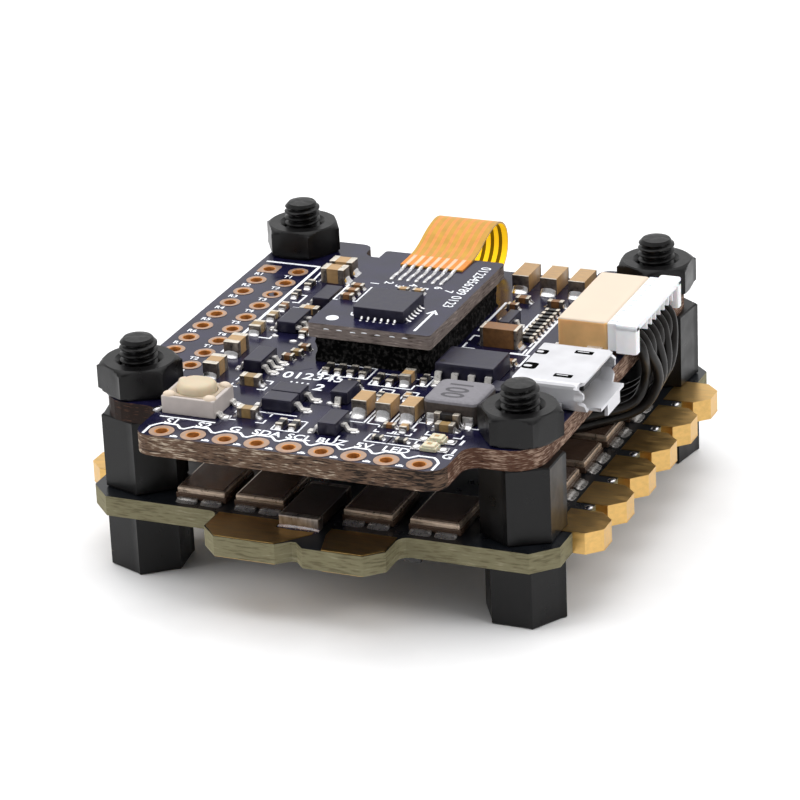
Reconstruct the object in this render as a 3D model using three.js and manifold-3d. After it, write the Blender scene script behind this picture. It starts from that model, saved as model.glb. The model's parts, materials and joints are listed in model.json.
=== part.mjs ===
// Flight controller stack: a four-in-one speed controller board, a flight controller board above it,
// nylon standoffs and nuts, a foam-mounted gyro board with its ribbon, and the harness between the boards.
// Millimetres, +Z up. X runs along the front pad row, Y towards the back, and the feet stand on Z = 0.

import * as THREE from "three";
import Module from "manifold-3d";

const wasm = await Module();
wasm.setup();

// ---- driving dimensions ----

const HOLE_PITCH = 30.5; // square mounting pattern
const HOLE_HALF = HOLE_PITCH / 2;
const HOLE_DIAMETER = 3.2; // clearance hole for M3
const BOARD_THICKNESS = 1.6;

const HEX_ACROSS_FLATS = 5.5;
const LOWER_HEX_HEIGHT = 5.0;
const UPPER_HEX_HEIGHT = 6.0;
const NUT_HEIGHT = 2.4;
const STUD_RADIUS = 1.45;
const BORE_RADIUS = 1.5;
const LOWER_STUD_LENGTH = 6.0;
const UPPER_STUD_LENGTH = 5.8;
const LOWER_BORE_DEPTH = 3.5;
const UPPER_BORE_DEPTH = 4.7;

const ESC_BOTTOM = LOWER_HEX_HEIGHT;
const ESC_TOP = ESC_BOTTOM + BOARD_THICKNESS;
const FC_BOTTOM = ESC_TOP + UPPER_HEX_HEIGHT;
const FC_TOP = FC_BOTTOM + BOARD_THICKNESS;

const FC_HALF_WIDTH = 17.5;
const FC_FRONT = -23.3; // front edge of the middle part, which carries the front pads
const FC_EAR_FRONT = -18.3;
const FC_EAR_BACK = 17.45;
const FC_RECESS_BACK = 15.0;

const ESC_HALF_WIDTH = 18.75;
const ESC_FRONT = -19.0;
const ESC_BACK = 18.7;
const ESC_TONGUE_FRONT = -23.0;
const TAB_REACH = 20.8; // outer face of the motor tabs
const TAB_PITCH = 5.04;
const TAB_FIRST = -12.65;
const TABS_PER_SIDE = 6;

const PAD_PITCH = 2.54;
const PAD_HOLE_RADIUS = 0.475;
const PADS_PER_ROW = 9;

const FOAM_HEIGHT = 2.15;
const IMU_BOTTOM = FC_TOP + FOAM_HEIGHT;
const IMU_THICKNESS = 1.15;
const IMU_TOP = IMU_BOTTOM + IMU_THICKNESS;

const WIRE_RADIUS = 0.39;
const WIRE_COUNT = 8;
const WIRE_PITCH = 1.0;

const MID_Y = (FC_FRONT + ESC_BACK) / 2; // middle of the whole stack from front to back

// ---- materials ----

const COLOURS = {
  fc_solder_mask: [0x1c1a33, 0.35, 0.1],
  esc_solder_mask: [0x14161a, 0.4, 0.1],
  black_nylon: [0x1a1a1b, 0.55, 0.0],
  black_foam: [0x0c0c0d, 0.95, 0.0],
  polyimide: [0xe08a1c, 0.4, 0.0],
  chip_epoxy: [0x1b1a1e, 0.6, 0.0],
  mosfet_epoxy: [0x2a211e, 0.45, 0.0],
  tinned_steel: [0xc9c9cc, 0.3, 0.9],
  contact_plastic: [0x141414, 0.6, 0.0],
  socket_nylon: [0xe9d9b8, 0.6, 0.0],
  plug_nylon: [0xf2f2f0, 0.55, 0.0],
  wire_silicone: [0x161617, 0.5, 0.0],
  switch_body: [0xd2cdc8, 0.6, 0.0],
  switch_cap: [0xeadfc6, 0.6, 0.0],
  ferrite: [0x6f6c72, 0.7, 0.1],
  ceramic: [0xb98f5e, 0.6, 0.0],
  shunt_alloy: [0x8d8478, 0.4, 0.7],
};

function material(name) {
  const [color, roughness, metalness] = COLOURS[name];
  return new THREE.MeshStandardMaterial({ name, color, roughness, metalness });
}

// ---- solid helpers ----

function solid(geometry) {
  const flat = geometry.index ? geometry.toNonIndexed() : geometry;
  const positions = flat.getAttribute("position").array;
  const keys = new Map();
  const vertices = [];
  const triangles = [];
  for (let i = 0; i < positions.length; i += 3) {
    const point = [positions[i], positions[i + 1], positions[i + 2]];
    const key = point.map((v) => Math.round(v * 1e4)).join(",");
    if (!keys.has(key)) {
      keys.set(key, vertices.length / 3);
      vertices.push(...point);
    }
    triangles.push(keys.get(key));
  }
  const kept = [];
  for (let i = 0; i < triangles.length; i += 3) {
    const [a, b, c] = triangles.slice(i, i + 3);
    if (a !== b && b !== c && c !== a) kept.push(a, b, c);
  }
  return new wasm.Manifold(
    new wasm.Mesh({
      numProp: 3,
      vertProperties: new Float32Array(vertices),
      triVerts: new Uint32Array(kept),
    }),
  );
}

function geometryOf(made) {
  const mesh = made.getMesh();
  const geometry = new THREE.BufferGeometry();
  geometry.setAttribute("position", new THREE.BufferAttribute(new Float32Array(mesh.vertProperties), 3));
  geometry.setIndex(new THREE.BufferAttribute(new Uint32Array(mesh.triVerts), 1));
  const flat = geometry.toNonIndexed();
  flat.computeVertexNormals();
  return flat;
}

function box([x0, x1], [y0, y1], [z0, z1]) {
  const geometry = new THREE.BoxGeometry(x1 - x0, y1 - y0, z1 - z0);
  geometry.translate((x0 + x1) / 2, (y0 + y1) / 2, (z0 + z1) / 2);
  return solid(geometry);
}

function cylinder(x, y, z0, z1, radius, segments) {
  const geometry = new THREE.CylinderGeometry(radius, radius, z1 - z0, segments);
  geometry.rotateX(Math.PI / 2);
  geometry.translate(x, y, (z0 + z1) / 2);
  return solid(geometry);
}

// A closed outline with its corners rounded: each point is [x, y, corner radius].
function rounded(points, arcSteps = 5) {
  const out = [];
  points.forEach(([x, y, radius = 0], i) => {
    const corner = new THREE.Vector2(x, y);
    if (!radius) {
      out.push(corner);
      return;
    }
    const before = new THREE.Vector2(...points[(i + points.length - 1) % points.length]);
    const after = new THREE.Vector2(...points[(i + 1) % points.length]);
    const inward = before.sub(corner).normalize();
    const outward = after.sub(corner).normalize();
    const halfAngle = Math.acos(THREE.MathUtils.clamp(inward.dot(outward), -1, 1)) / 2;
    const reach = radius / Math.tan(halfAngle);
    const bisector = inward.clone().add(outward).normalize();
    const centre = corner.clone().addScaledVector(bisector, radius / Math.sin(halfAngle));
    const start = corner.clone().addScaledVector(inward, reach).sub(centre);
    const end = corner.clone().addScaledVector(outward, reach).sub(centre);
    const sweep = Math.atan2(start.cross(end), start.dot(end));
    for (let k = 0; k <= arcSteps; k++) {
      const turned = start.clone().rotateAround(new THREE.Vector2(), (sweep * k) / arcSteps);
      out.push(turned.add(centre));
    }
  });
  return out;
}

function plate(outline, z0, z1) {
  const geometry = new THREE.ExtrudeGeometry(new THREE.Shape(outline), { depth: z1 - z0, bevelEnabled: false });
  geometry.translate(0, 0, z0);
  return solid(geometry);
}

// A profile drawn in Y and Z, carried along X.
function alongX(profile, x0, x1) {
  const geometry = new THREE.ExtrudeGeometry(new THREE.Shape(profile), { depth: x1 - x0, bevelEnabled: false });
  geometry.applyMatrix4(new THREE.Matrix4().set(0, 0, 1, x0, 1, 0, 0, 0, 0, 1, 0, 0, 0, 0, 0, 1));
  return solid(geometry);
}

function lathe(profile, x, y, segments) {
  const points = profile.map(([radius, z]) => new THREE.Vector2(radius, z));
  const geometry = new THREE.LatheGeometry(points, segments);
  geometry.rotateX(Math.PI / 2);
  geometry.translate(x, y, 0);
  return solid(geometry);
}

const stack = new THREE.Group();
stack.name = "flight_controller_stack";
const centred = new THREE.Group();
centred.position.y = -MID_Y;
stack.add(centred);

function place(name, made, materialName) {
  const mesh = new THREE.Mesh(geometryOf(made), material(materialName));
  mesh.name = name;
  centred.add(mesh);
}

function mirrored(outline) {
  return [...outline, ...outline.map(([x, y, radius]) => [-x, y, radius]).reverse()];
}

const CORNERS = [
  ["front_left", -HOLE_HALF, -HOLE_HALF],
  ["front_right", HOLE_HALF, -HOLE_HALF],
  ["back_right", HOLE_HALF, HOLE_HALF],
  ["back_left", -HOLE_HALF, HOLE_HALF],
];

function drillCorners(board, z0, z1) {
  const drills = CORNERS.map(([, x, y]) => cylinder(x, y, z0 - 1, z1 + 1, HOLE_DIAMETER / 2, 24));
  return drills.reduce((left, drill) => left.subtract(drill), board);
}

// ---- lower board: four-in-one speed controller ----

function escOutline() {
  // One side from the front to the back, with its half-octagon motor tabs.
  const side = [];
  for (let k = 0; k < TABS_PER_SIDE; k++) {
    const y = TAB_FIRST + TAB_PITCH * k;
    side.push([ESC_HALF_WIDTH, y - 1.95, 0]);
    side.push([TAB_REACH - 1.1, y - 1.95, 0]);
    side.push([TAB_REACH, y - 0.85, 0]);
    side.push([TAB_REACH, y + 0.85, 0]);
    side.push([TAB_REACH - 1.1, y + 1.95, 0]);
    side.push([ESC_HALF_WIDTH, y + 1.95, 0]);
  }
  const front = [
    [-7.6, ESC_FRONT, 0.8],
    [-7.6, -21.6, 0],
    [-6.2, ESC_TONGUE_FRONT, 0],
    [-1.3, ESC_TONGUE_FRONT, 0],
    [-0.3, -22.2, 0],
    [0.1, -22.2, 0],
    [0.9, ESC_TONGUE_FRONT, 0],
    [5.7, ESC_TONGUE_FRONT, 0],
    [7.0, -21.8, 0],
    [7.0, ESC_FRONT, 0.8],
  ];
  const rightSide = [[17.0, ESC_FRONT, 0], [ESC_HALF_WIDTH, -17.2, 0], ...side];
  const backCorner = [[ESC_HALF_WIDTH, 17.0, 0], [17.0, ESC_BACK, 0]];
  const right = [...rightSide, ...backCorner];
  const left = right.map(([x, y, radius]) => [-x, y, radius]).reverse();
  return rounded([...front, ...right, ...left], 4);
}

place("esc_board", drillCorners(plate(escOutline(), ESC_BOTTOM, ESC_TOP), ESC_BOTTOM, ESC_TOP), "esc_solder_mask");

// Power transistors: one beside each motor tab on both sides, and four along the front edge.
const MOSFET_HEIGHT = 1.0;

function mosfet(name, [x0, x1], [y0, y1]) {
  const top = ESC_TOP + MOSFET_HEIGHT;
  const edge = 0.2;
  const body = box([x0, x1], [y0, y1], [ESC_TOP, top - edge]);
  const raised = box([x0 + edge, x1 - edge], [y0 + edge, y1 - edge], [top - edge - 0.1, top]);
  place(name, body.add(raised), "mosfet_epoxy");
}

// The end tabs sit beside the standoffs, so only the middle ones have a transistor next to them.
for (let k = 1; k < TABS_PER_SIDE - 1; k++) {
  const y = TAB_FIRST + TAB_PITCH * k;
  mosfet(`mosfet_right_${k}`, [11.0, 16.2], [y - 2.05, y + 2.05]);
  mosfet(`mosfet_left_${k}`, [-16.2, -11.0], [y - 2.05, y + 2.05]);
}
[-9.65, -4.85, 3.9, 9.2].forEach((x, i) => {
  mosfet(`mosfet_front_${i + 1}`, [x - 2.05, x + 2.05], [-17.7, -12.5]);
});

place("current_shunt", box([-2.2, 1.0], [-20.1, -13.8], [ESC_TOP, ESC_TOP + 1.05]), "shunt_alloy");

// ---- upper board: flight controller ----

function fcOutline() {
  const right = [
    [12.15, FC_FRONT, 1.4],
    [12.15, FC_EAR_FRONT, 1.2],
    [FC_HALF_WIDTH, FC_EAR_FRONT, 2.6],
    [FC_HALF_WIDTH, FC_EAR_BACK, 2.6],
    [9.9, FC_EAR_BACK, 1.0],
    [9.9, FC_RECESS_BACK, 1.0],
  ];
  const left = right.map(([x, y, radius]) => [-x, y, radius]).reverse();
  return rounded([...right, ...left], 6);
}

function fcBoard() {
  const blank = drillCorners(plate(fcOutline(), FC_BOTTOM, FC_TOP), FC_BOTTOM, FC_TOP);
  const spots = [];
  for (let k = 0; k < PADS_PER_ROW; k++) {
    spots.push([(k - 4) * PAD_PITCH, -22.3]);
    spots.push([-16.05, 10.06 - k * PAD_PITCH]);
    spots.push([-13.5, 10.06 - k * PAD_PITCH]);
  }
  return spots.reduce(
    (left, [x, y]) => left.subtract(cylinder(x, y, FC_BOTTOM - 1, FC_TOP + 1, PAD_HOLE_RADIUS, 10)),
    blank,
  );
}

place("fc_board", fcBoard(), "fc_solder_mask");

// ---- nylon fasteners ----

function hexPrism(x, y, z0, z1, cornerDegrees) {
  const radius = HEX_ACROSS_FLATS / Math.sqrt(3);
  const outline = [];
  for (let k = 0; k < 6; k++) {
    const angle = ((cornerDegrees + 60 * k) * Math.PI) / 180;
    outline.push(new THREE.Vector2(x + radius * Math.cos(angle), y + radius * Math.sin(angle)));
  }
  return plate(outline, z0, z1);
}

// A hex body with its own male thread above and a threaded bore below.
function standoff(x, y, z0, hexHeight, studLength, boreDepth, cornerDegrees) {
  const shoulder = z0 + hexHeight;
  const tip = shoulder + studLength;
  const stud = lathe(
    [[0, shoulder - 0.1], [STUD_RADIUS, shoulder - 0.1], [STUD_RADIUS, tip - 0.3], [STUD_RADIUS - 0.3, tip], [0, tip]],
    x,
    y,
    20,
  );
  return hexPrism(x, y, z0, shoulder, cornerDegrees)
    .add(stud)
    .subtract(cylinder(x, y, z0 - 1, z0 + boreDepth, BORE_RADIUS, 20));
}

function nut(x, y, z0, cornerDegrees) {
  const top = z0 + NUT_HEIGHT;
  const turned = lathe(
    [
      [BORE_RADIUS, z0],
      [3.0, z0],
      [3.3, z0 + 0.15],
      [3.3, top - 0.35],
      [2.65, top],
      [BORE_RADIUS + 0.35, top],
      [BORE_RADIUS, top - 0.35],
      [BORE_RADIUS, z0],
    ],
    x,
    y,
    32,
  );
  return hexPrism(x, y, z0 - 0.5, top + 0.5, cornerDegrees).intersect(turned);
}

// Angle of one corner of each hex, in the order of CORNERS.
const LOWER_ANGLES = [38.4, 0, 20, 50];
const UPPER_ANGLES = [42.1, 30.4, 25, 12];
const NUT_ANGLES = [28.7, 7.8, 34.2, 2];

CORNERS.forEach(([corner, x, y], i) => {
  const lower = standoff(x, y, 0, LOWER_HEX_HEIGHT, LOWER_STUD_LENGTH, LOWER_BORE_DEPTH, LOWER_ANGLES[i]);
  const upper = standoff(x, y, ESC_TOP, UPPER_HEX_HEIGHT, UPPER_STUD_LENGTH, UPPER_BORE_DEPTH, UPPER_ANGLES[i]);
  place(`lower_standoff_${corner}`, lower, "black_nylon");
  place(`upper_standoff_${corner}`, upper, "black_nylon");
  place(`nut_${corner}`, nut(x, y, FC_TOP, NUT_ANGLES[i]), "black_nylon");
});

// ---- floating gyro board ----

place("imu_foam", box([-4.7, 4.7], [-6.8, 7.9], [FC_TOP, IMU_BOTTOM]), "black_foam");

const imuOutline = rounded([[5.0, -7.15, 0.25], [5.0, 8.6, 0.25], [-5.0, 8.6, 0.25], [-5.0, -7.15, 0.25]], 3);
place("imu_board", plate(imuOutline, IMU_BOTTOM, IMU_TOP), "fc_solder_mask");
place("imu_sensor", box([-1.95, 2.15], [-5.35, -1.15], [IMU_TOP, IMU_TOP + 0.95]), "chip_epoxy");

// The ribbon leaves the top of the gyro board, turns over behind it and comes down to the board below.
const RIBBON_HALF_THICKNESS = 0.07;
const RIBBON_PATH = [
  [5.9, IMU_TOP + RIBBON_HALF_THICKNESS],
  [7.2, IMU_TOP + RIBBON_HALF_THICKNESS],
  [8.5, IMU_TOP + 0.13],
  [9.8, IMU_TOP + 0.4],
  [11.1, IMU_TOP + 0.85],
  [12.4, IMU_TOP + 1.17],
  [13.6, IMU_TOP + 1.26],
  [14.7, IMU_TOP + 0.96],
  [15.55, IMU_TOP + 0.2],
  [15.85, IMU_TOP - 0.9],
  [15.6, IMU_TOP - 1.9],
  [14.8, IMU_TOP - 2.7],
  [13.6, FC_TOP + 0.2],
  [12.3, FC_TOP + RIBBON_HALF_THICKNESS],
  [10.6, FC_TOP + RIBBON_HALF_THICKNESS],
];

function ribbon() {
  const curve = new THREE.CatmullRomCurve3(RIBBON_PATH.map(([y, z]) => new THREE.Vector3(0, y, z)));
  const steps = 30;
  const outer = [];
  const inner = [];
  for (let i = 0; i <= steps; i++) {
    const at = curve.getPointAt(i / steps);
    const along = curve.getTangentAt(i / steps);
    const side = new THREE.Vector2(-along.z, along.y).multiplyScalar(RIBBON_HALF_THICKNESS);
    const middle = new THREE.Vector2(at.y, at.z);
    const floor = at.z > IMU_TOP - 0.1 && at.y < 8.7 ? IMU_TOP : FC_TOP;
    for (const [edge, sign] of [[outer, 1], [inner, -1]]) {
      const point = middle.clone().addScaledVector(side, sign);
      edge.push(new THREE.Vector2(point.x, Math.max(point.y, floor)));
    }
  }
  return alongX([...outer, ...inner.reverse()], -2.7, 2.5);
}

place("imu_ribbon", ribbon(), "polyimide");

// ---- micro USB socket, with its mouth on the right side of the board ----

const USB_BACK = 12.9;
const USB_MOUTH = 18.45;
const USB_Y = -7.25;
const USB_HEIGHT = 2.45;
const USB_WALL = 0.25;

function usbProfile(inset) {
  const top = FC_TOP + USB_HEIGHT - inset;
  const bottom = FC_TOP + inset;
  return rounded(
    [
      [USB_Y + 2.9 - inset * 0.8, bottom, 0.3],
      [USB_Y + 3.7 - inset, FC_TOP + 1.1, 0.5],
      [USB_Y + 3.7 - inset, top, 0.4],
      [USB_Y - 3.7 + inset, top, 0.4],
      [USB_Y - 3.7 + inset, FC_TOP + 1.1, 0.5],
      [USB_Y - 2.9 + inset * 0.8, bottom, 0.3],
    ],
    3,
  );
}

function usbShell() {
  const top = FC_TOP + USB_HEIGHT;
  const outer = alongX(usbProfile(0), USB_BACK, USB_MOUTH);
  const inner = alongX(usbProfile(USB_WALL), USB_BACK + USB_WALL, USB_MOUTH + 1);
  const latchSlots = [-2.25, 2.35].map((dy) =>
    box([15.8, 17.1], [USB_Y + dy - 0.25, USB_Y + dy + 0.25], [top - 0.6, top + 0.5]),
  );
  const lip = box([USB_MOUTH - 0.2, 19.4], [USB_Y - 2.4, USB_Y + 2.6], [FC_TOP, FC_TOP + 0.25]);
  const hook = box([19.15, 19.4], [USB_Y - 1.0, USB_Y + 1.7], [FC_TOP - 0.9, FC_TOP + 0.1]);
  return latchSlots.reduce((left, slot) => left.subtract(slot), outer.subtract(inner)).add(lip).add(hook);
}

place("usb_shell", usbShell(), "tinned_steel");

function usbTongue() {
  const floor = FC_TOP + USB_WALL;
  const ceiling = FC_TOP + USB_HEIGHT - USB_WALL;
  const block = box([USB_BACK + USB_WALL, 14.5], [USB_Y - 2.4, USB_Y + 2.4], [floor, ceiling]);
  const tongue = box([14.4, 17.9], [USB_Y - 1.9, USB_Y + 1.9], [FC_TOP + 1.25, FC_TOP + 1.8]);
  return block.add(tongue);
}

place("usb_tongue", usbTongue(), "contact_plastic");

// ---- eight-way side-entry connector pairs ----

const SOCKET_DEPTH = 4.0;
const SOCKET_HALF_WIDTH = 5.0;
const SOCKET_HEIGHT = 2.95;
const PLUG_HALF_WIDTH = 5.4;
const PLUG_BODY_DEPTH = 0.5;
const PLUG_HOOD_DEPTH = 1.95;
const PLUG_FLOOR = 0.7;

function socketSolid(x, y, z) {
  const outer = box([x, x + SOCKET_DEPTH], [y - SOCKET_HALF_WIDTH, y + SOCKET_HALF_WIDTH], [z, z + SOCKET_HEIGHT]);
  const mouth = box([x + 1.0, x + SOCKET_DEPTH + 1], [y - 4.2, y + 4.2], [z + 0.6, z + 2.4]);
  return outer.subtract(mouth);
}

// The nose sits in the socket; the hood and the two ears shield the wires behind it.
function plugSolid(x, y, z) {
  const face = x + SOCKET_DEPTH;
  const back = face + PLUG_BODY_DEPTH;
  const hood = back + PLUG_HOOD_DEPTH;
  const floor = z + PLUG_FLOOR;
  const top = z + SOCKET_HEIGHT;
  const nose = box([x + 1.1, face + 0.1], [y - 4.1, y + 4.1], [z + 0.7, z + 2.3]);
  const body = box([face, back], [y - PLUG_HALF_WIDTH, y + PLUG_HALF_WIDTH], [floor, top]);
  const roof = box([back - 0.1, hood], [y - PLUG_HALF_WIDTH, y + PLUG_HALF_WIDTH], [top - 0.4, top]);
  const nearEar = box([back - 0.1, hood], [y - PLUG_HALF_WIDTH, y - PLUG_HALF_WIDTH + 0.95], [floor, top]);
  const farEar = box([back - 0.1, hood], [y + PLUG_HALF_WIDTH - 0.85, y + PLUG_HALF_WIDTH], [floor, top]);
  return nose.add(body).add(roof).add(nearEar).add(farEar);
}

const FC_PAIR = [12.5, 5.05, FC_TOP];
const ESC_PAIR = [-9.6, -3.2, ESC_TOP];
place("fc_socket", socketSolid(...FC_PAIR), "socket_nylon");
place("fc_plug", plugSolid(...FC_PAIR), "plug_nylon");
place("esc_socket", socketSolid(...ESC_PAIR), "socket_nylon");
place("esc_plug", plugSolid(...ESC_PAIR), "plug_nylon");

// ---- harness: eight wires, in two layers while they are bundled ----

const WIRE_DROP = 1.65; // wire centres above the board at a plug
const FC_WIRE_X = FC_PAIR[0] + SOCKET_DEPTH + PLUG_BODY_DEPTH;
const ESC_WIRE_X = ESC_PAIR[0] + SOCKET_DEPTH + PLUG_BODY_DEPTH;

// Middle of the bundle: place, how closely the wires are bundled, and the heading of the row of wires in degrees.
const BUNDLE = [
  [FC_WIRE_X, 5.05, FC_TOP + WIRE_DROP, 0, 90],
  [17.64, 5.05, 15.74, 0, 90],
  [18.24, 5.05, 15.36, 0, 90],
  [18.65, 5.05, 14.78, 0, 90],
  [18.82, 5.06, 14.05, 0.1, 90],
  [18.82, 5.25, 13.0, 0.5, 90],
  [18.66, 5.55, 11.8, 0.87, 91],
  [18.2, 5.7, 10.4, 1, 96],
  [17.3, 5.45, 9.2, 1, 106],
  [15.95, 4.6, 8.62, 1, 122],
  [14.55, 3.1, 8.56, 1, 136],
  [13.1, 1.3, 8.6, 1, 142],
  [11.4, -0.7, 8.6, 1, 136],
  [9.1, -2.3, 8.6, 1, 118],
  [6.4, -3.05, 8.55, 1, 100],
  [3.6, -3.2, 8.5, 0.75, 92],
  [0.6, -3.2, 8.35, 0.4, 90],
  [-1.9, -3.2, ESC_TOP + WIRE_DROP, 0.1, 90],
  [ESC_WIRE_X, -3.2, ESC_TOP + WIRE_DROP, 0, 90],
];

function wirePath(i) {
  const middle = new THREE.CatmullRomCurve3(BUNDLE.map(([x, y, z]) => new THREE.Vector3(x, y, z)));
  const manner = new THREE.CatmullRomCurve3(BUNDLE.map(([, , , close, degrees]) => new THREE.Vector3(close, degrees, 0)));
  const points = [];
  for (let k = 0; k <= 40; k++) {
    const { x: close, y: degrees } = manner.getPoint(k / 40);
    const closeness = THREE.MathUtils.clamp(close, 0, 1);
    const heading = (degrees * Math.PI) / 180;
    const across = new THREE.Vector3(Math.cos(heading), Math.sin(heading), 0);
    const layerNormal = across.clone().cross(middle.getTangent(k / 40)).normalize();
    const offset = (i - (WIRE_COUNT - 1) / 2) * WIRE_PITCH * (1 - 0.5 * closeness);
    const layer = (i % 2 ? -0.47 : 0.47) * closeness;
    points.push(middle.getPoint(k / 40).addScaledVector(across, offset).addScaledVector(layerNormal, layer));
  }
  return new THREE.CatmullRomCurve3(points);
}

function tube(path, radius, sides, steps) {
  const ring = [];
  for (let k = 0; k < sides; k++) {
    const angle = (2 * Math.PI * k) / sides;
    ring.push(new THREE.Vector2(radius * Math.cos(angle), radius * Math.sin(angle)));
  }
  return solid(new THREE.ExtrudeGeometry(new THREE.Shape(ring), { steps, extrudePath: path, bevelEnabled: false }));
}

for (let i = 0; i < WIRE_COUNT; i++) {
  place(`harness_wire_${i + 1}`, tube(wirePath(i), WIRE_RADIUS, 8, 40), "wire_silicone");
}

// ---- boot button ----

const BUTTON = { x: [-11.6, -7.3], y: [-19.25, -15.75], height: 1.4 };
const CAP_REST = FC_TOP + 0.75; // underside of the cap when it is not pressed
const CAP_TOP = FC_TOP + 2.15;

function capOutline(grow) {
  const [cx, cy] = [(BUTTON.x[0] + BUTTON.x[1]) / 2, (BUTTON.y[0] + BUTTON.y[1]) / 2];
  const [a, b] = [1.5 + grow, 1.3 + grow];
  return rounded([[cx + a, cy - b, b - 0.1], [cx + a, cy + b, b - 0.1], [cx - a, cy + b, b - 0.1], [cx - a, cy - b, b - 0.1]], 5);
}

const buttonWell = plate(capOutline(0.05), FC_TOP + 0.4, FC_TOP + 3);
const buttonBlock = box(BUTTON.x, BUTTON.y, [FC_TOP, FC_TOP + BUTTON.height]);
place("boot_button_body", buttonBlock.subtract(buttonWell), "switch_body");
const capSkirt = plate(capOutline(0), CAP_REST, CAP_TOP - 0.3);
const capCrown = plate(capOutline(-0.25), CAP_REST, CAP_TOP);
place("boot_button_cap", capSkirt.add(capCrown), "switch_cap");

// ---- larger parts on the flight controller ----

function inductor() {
  const outline = rounded([[11.8, -15.0, 0.5], [11.8, -10.9, 0.5], [7.5, -10.9, 0.5], [7.5, -15.0, 0.5]], 3);
  return plate(outline, FC_TOP, FC_TOP + 1.85);
}

place("power_inductor", inductor(), "ferrite");
place("regulator_chip", box([5.5, 10.2], [-7.6, -4.1], [FC_TOP, FC_TOP + 1.45]), "chip_epoxy");

const CHIPS = {
  motor_side_chip_back: [[-9.2, -7.75], [3.1, 6.0], 1.0],
  motor_side_chip_middle: [[-9.9, -8.3], [-2.2, 0.9], 0.95],
  motor_side_chip_front: [[-9.1, -7.6], [-10.2, -7.2], 1.0],
  front_logic_chip: [[-4.7, -2.3], [-16.6, -13.2], 1.0],
};
for (const [name, [x, y, height]] of Object.entries(CHIPS)) {
  place(name, box(x, y, [FC_TOP, FC_TOP + height]), "chip_epoxy");
}

const CAPACITORS = {
  capacitor_front_1: [[2.06, 3.26], [-15.5, -13.5], 1.25],
  capacitor_front_2: [[3.96, 5.16], [-15.5, -13.5], 1.25],
  capacitor_front_3: [[5.86, 7.06], [-15.5, -13.5], 1.25],
  capacitor_middle: [[6.3, 9.35], [-0.4, 0.95], 1.6],
  capacitor_back_1: [[4.6, 6.0], [11.1, 14.0], 1.4],
  capacitor_back_2: [[6.95, 8.35], [11.1, 14.0], 1.4],
  capacitor_back_3: [[9.3, 10.7], [11.1, 14.0], 1.4],
};
for (const [name, [x, y, height]] of Object.entries(CAPACITORS)) {
  place(name, box(x, y, [FC_TOP, FC_TOP + height]), "ceramic");
}

export default stack;
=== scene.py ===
# Looks for the flight controller stack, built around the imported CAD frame.
# Lengths are millimetres in the hole pattern's frame, and at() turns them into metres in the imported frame.
# Only the camera and the lights are placed in metres.

import json
import math
import random

import bmesh
import bpy
from mathutils import Matrix, Vector, noise

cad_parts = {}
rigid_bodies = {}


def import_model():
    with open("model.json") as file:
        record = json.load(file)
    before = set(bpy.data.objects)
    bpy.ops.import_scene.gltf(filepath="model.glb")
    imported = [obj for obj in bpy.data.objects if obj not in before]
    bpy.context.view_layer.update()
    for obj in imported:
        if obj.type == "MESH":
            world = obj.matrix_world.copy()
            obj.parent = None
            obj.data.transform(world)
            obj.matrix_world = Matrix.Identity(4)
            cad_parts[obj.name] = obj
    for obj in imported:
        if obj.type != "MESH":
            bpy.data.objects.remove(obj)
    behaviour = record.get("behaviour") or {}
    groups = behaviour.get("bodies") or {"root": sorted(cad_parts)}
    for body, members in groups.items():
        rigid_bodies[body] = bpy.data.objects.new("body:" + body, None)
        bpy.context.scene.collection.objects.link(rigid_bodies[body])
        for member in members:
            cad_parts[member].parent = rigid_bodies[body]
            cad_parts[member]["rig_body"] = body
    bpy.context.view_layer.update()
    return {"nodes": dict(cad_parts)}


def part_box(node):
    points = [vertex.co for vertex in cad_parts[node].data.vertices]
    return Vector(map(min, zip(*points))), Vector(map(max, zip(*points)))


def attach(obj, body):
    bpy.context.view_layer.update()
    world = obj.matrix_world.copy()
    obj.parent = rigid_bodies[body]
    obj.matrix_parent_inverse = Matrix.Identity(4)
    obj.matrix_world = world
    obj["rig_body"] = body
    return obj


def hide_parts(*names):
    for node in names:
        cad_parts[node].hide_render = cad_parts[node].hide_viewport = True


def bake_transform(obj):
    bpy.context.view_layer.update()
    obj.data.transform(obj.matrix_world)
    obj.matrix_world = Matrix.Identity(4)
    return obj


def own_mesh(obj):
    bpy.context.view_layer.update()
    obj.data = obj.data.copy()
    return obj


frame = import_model()

MM = 0.001
PATTERN_SHIFT = 2.3  # the hole pattern's centre lies this far behind the middle of the footprint
HOLE_HALF = 15.25  # half the side of the square of mounting holes
ESC_TOP = 6.6
ESC_BOTTOM = 5.0
FC_TOP = 14.2
FC_BOTTOM = 12.6
IMU_TOP = 17.5
PRINT = 0.016  # thickness of ink
THIN_LINE = 0.13  # width of the printed lines round small parts
COPPER = 0.035  # thickness of plated pads
FLAT_AREA = 0.4 * MM * MM  # faces of a refined part larger than this are shaded flat
WELD = 2e-7  # metres within which a CAD mesh's corners are one
LEFT, RIGHT, FRONT, BACK = (-1, 0), (1, 0), (0, -1), (0, 1)
EMBED = 0.01  # how far a thin part reaches into the surface it lies on


def at(x, y, z):
    """A place in metres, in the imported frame."""
    return Vector((x * MM, (y + PATTERN_SHIFT) * MM, z * MM))


def span(node):
    """The CAD node's box in pattern millimetres: x, y and z ranges."""
    low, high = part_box(node)
    shift = (0, PATTERN_SHIFT, 0)
    return [(low[i] / MM - shift[i], high[i] / MM - shift[i]) for i in range(3)]


# ---- camera, floor and light ----

AZIMUTH = math.radians(23.32)
ELEVATION = math.radians(23.065)
ROLL = math.radians(-2.552)
DISTANCE = 0.291854
TARGET = Vector((-0.002287, 0.005947, 0.007))
FOCAL_LENGTH = 166.3
SENSOR_WIDTH = 36
NEAREST_SEEN = 0.01

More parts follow.
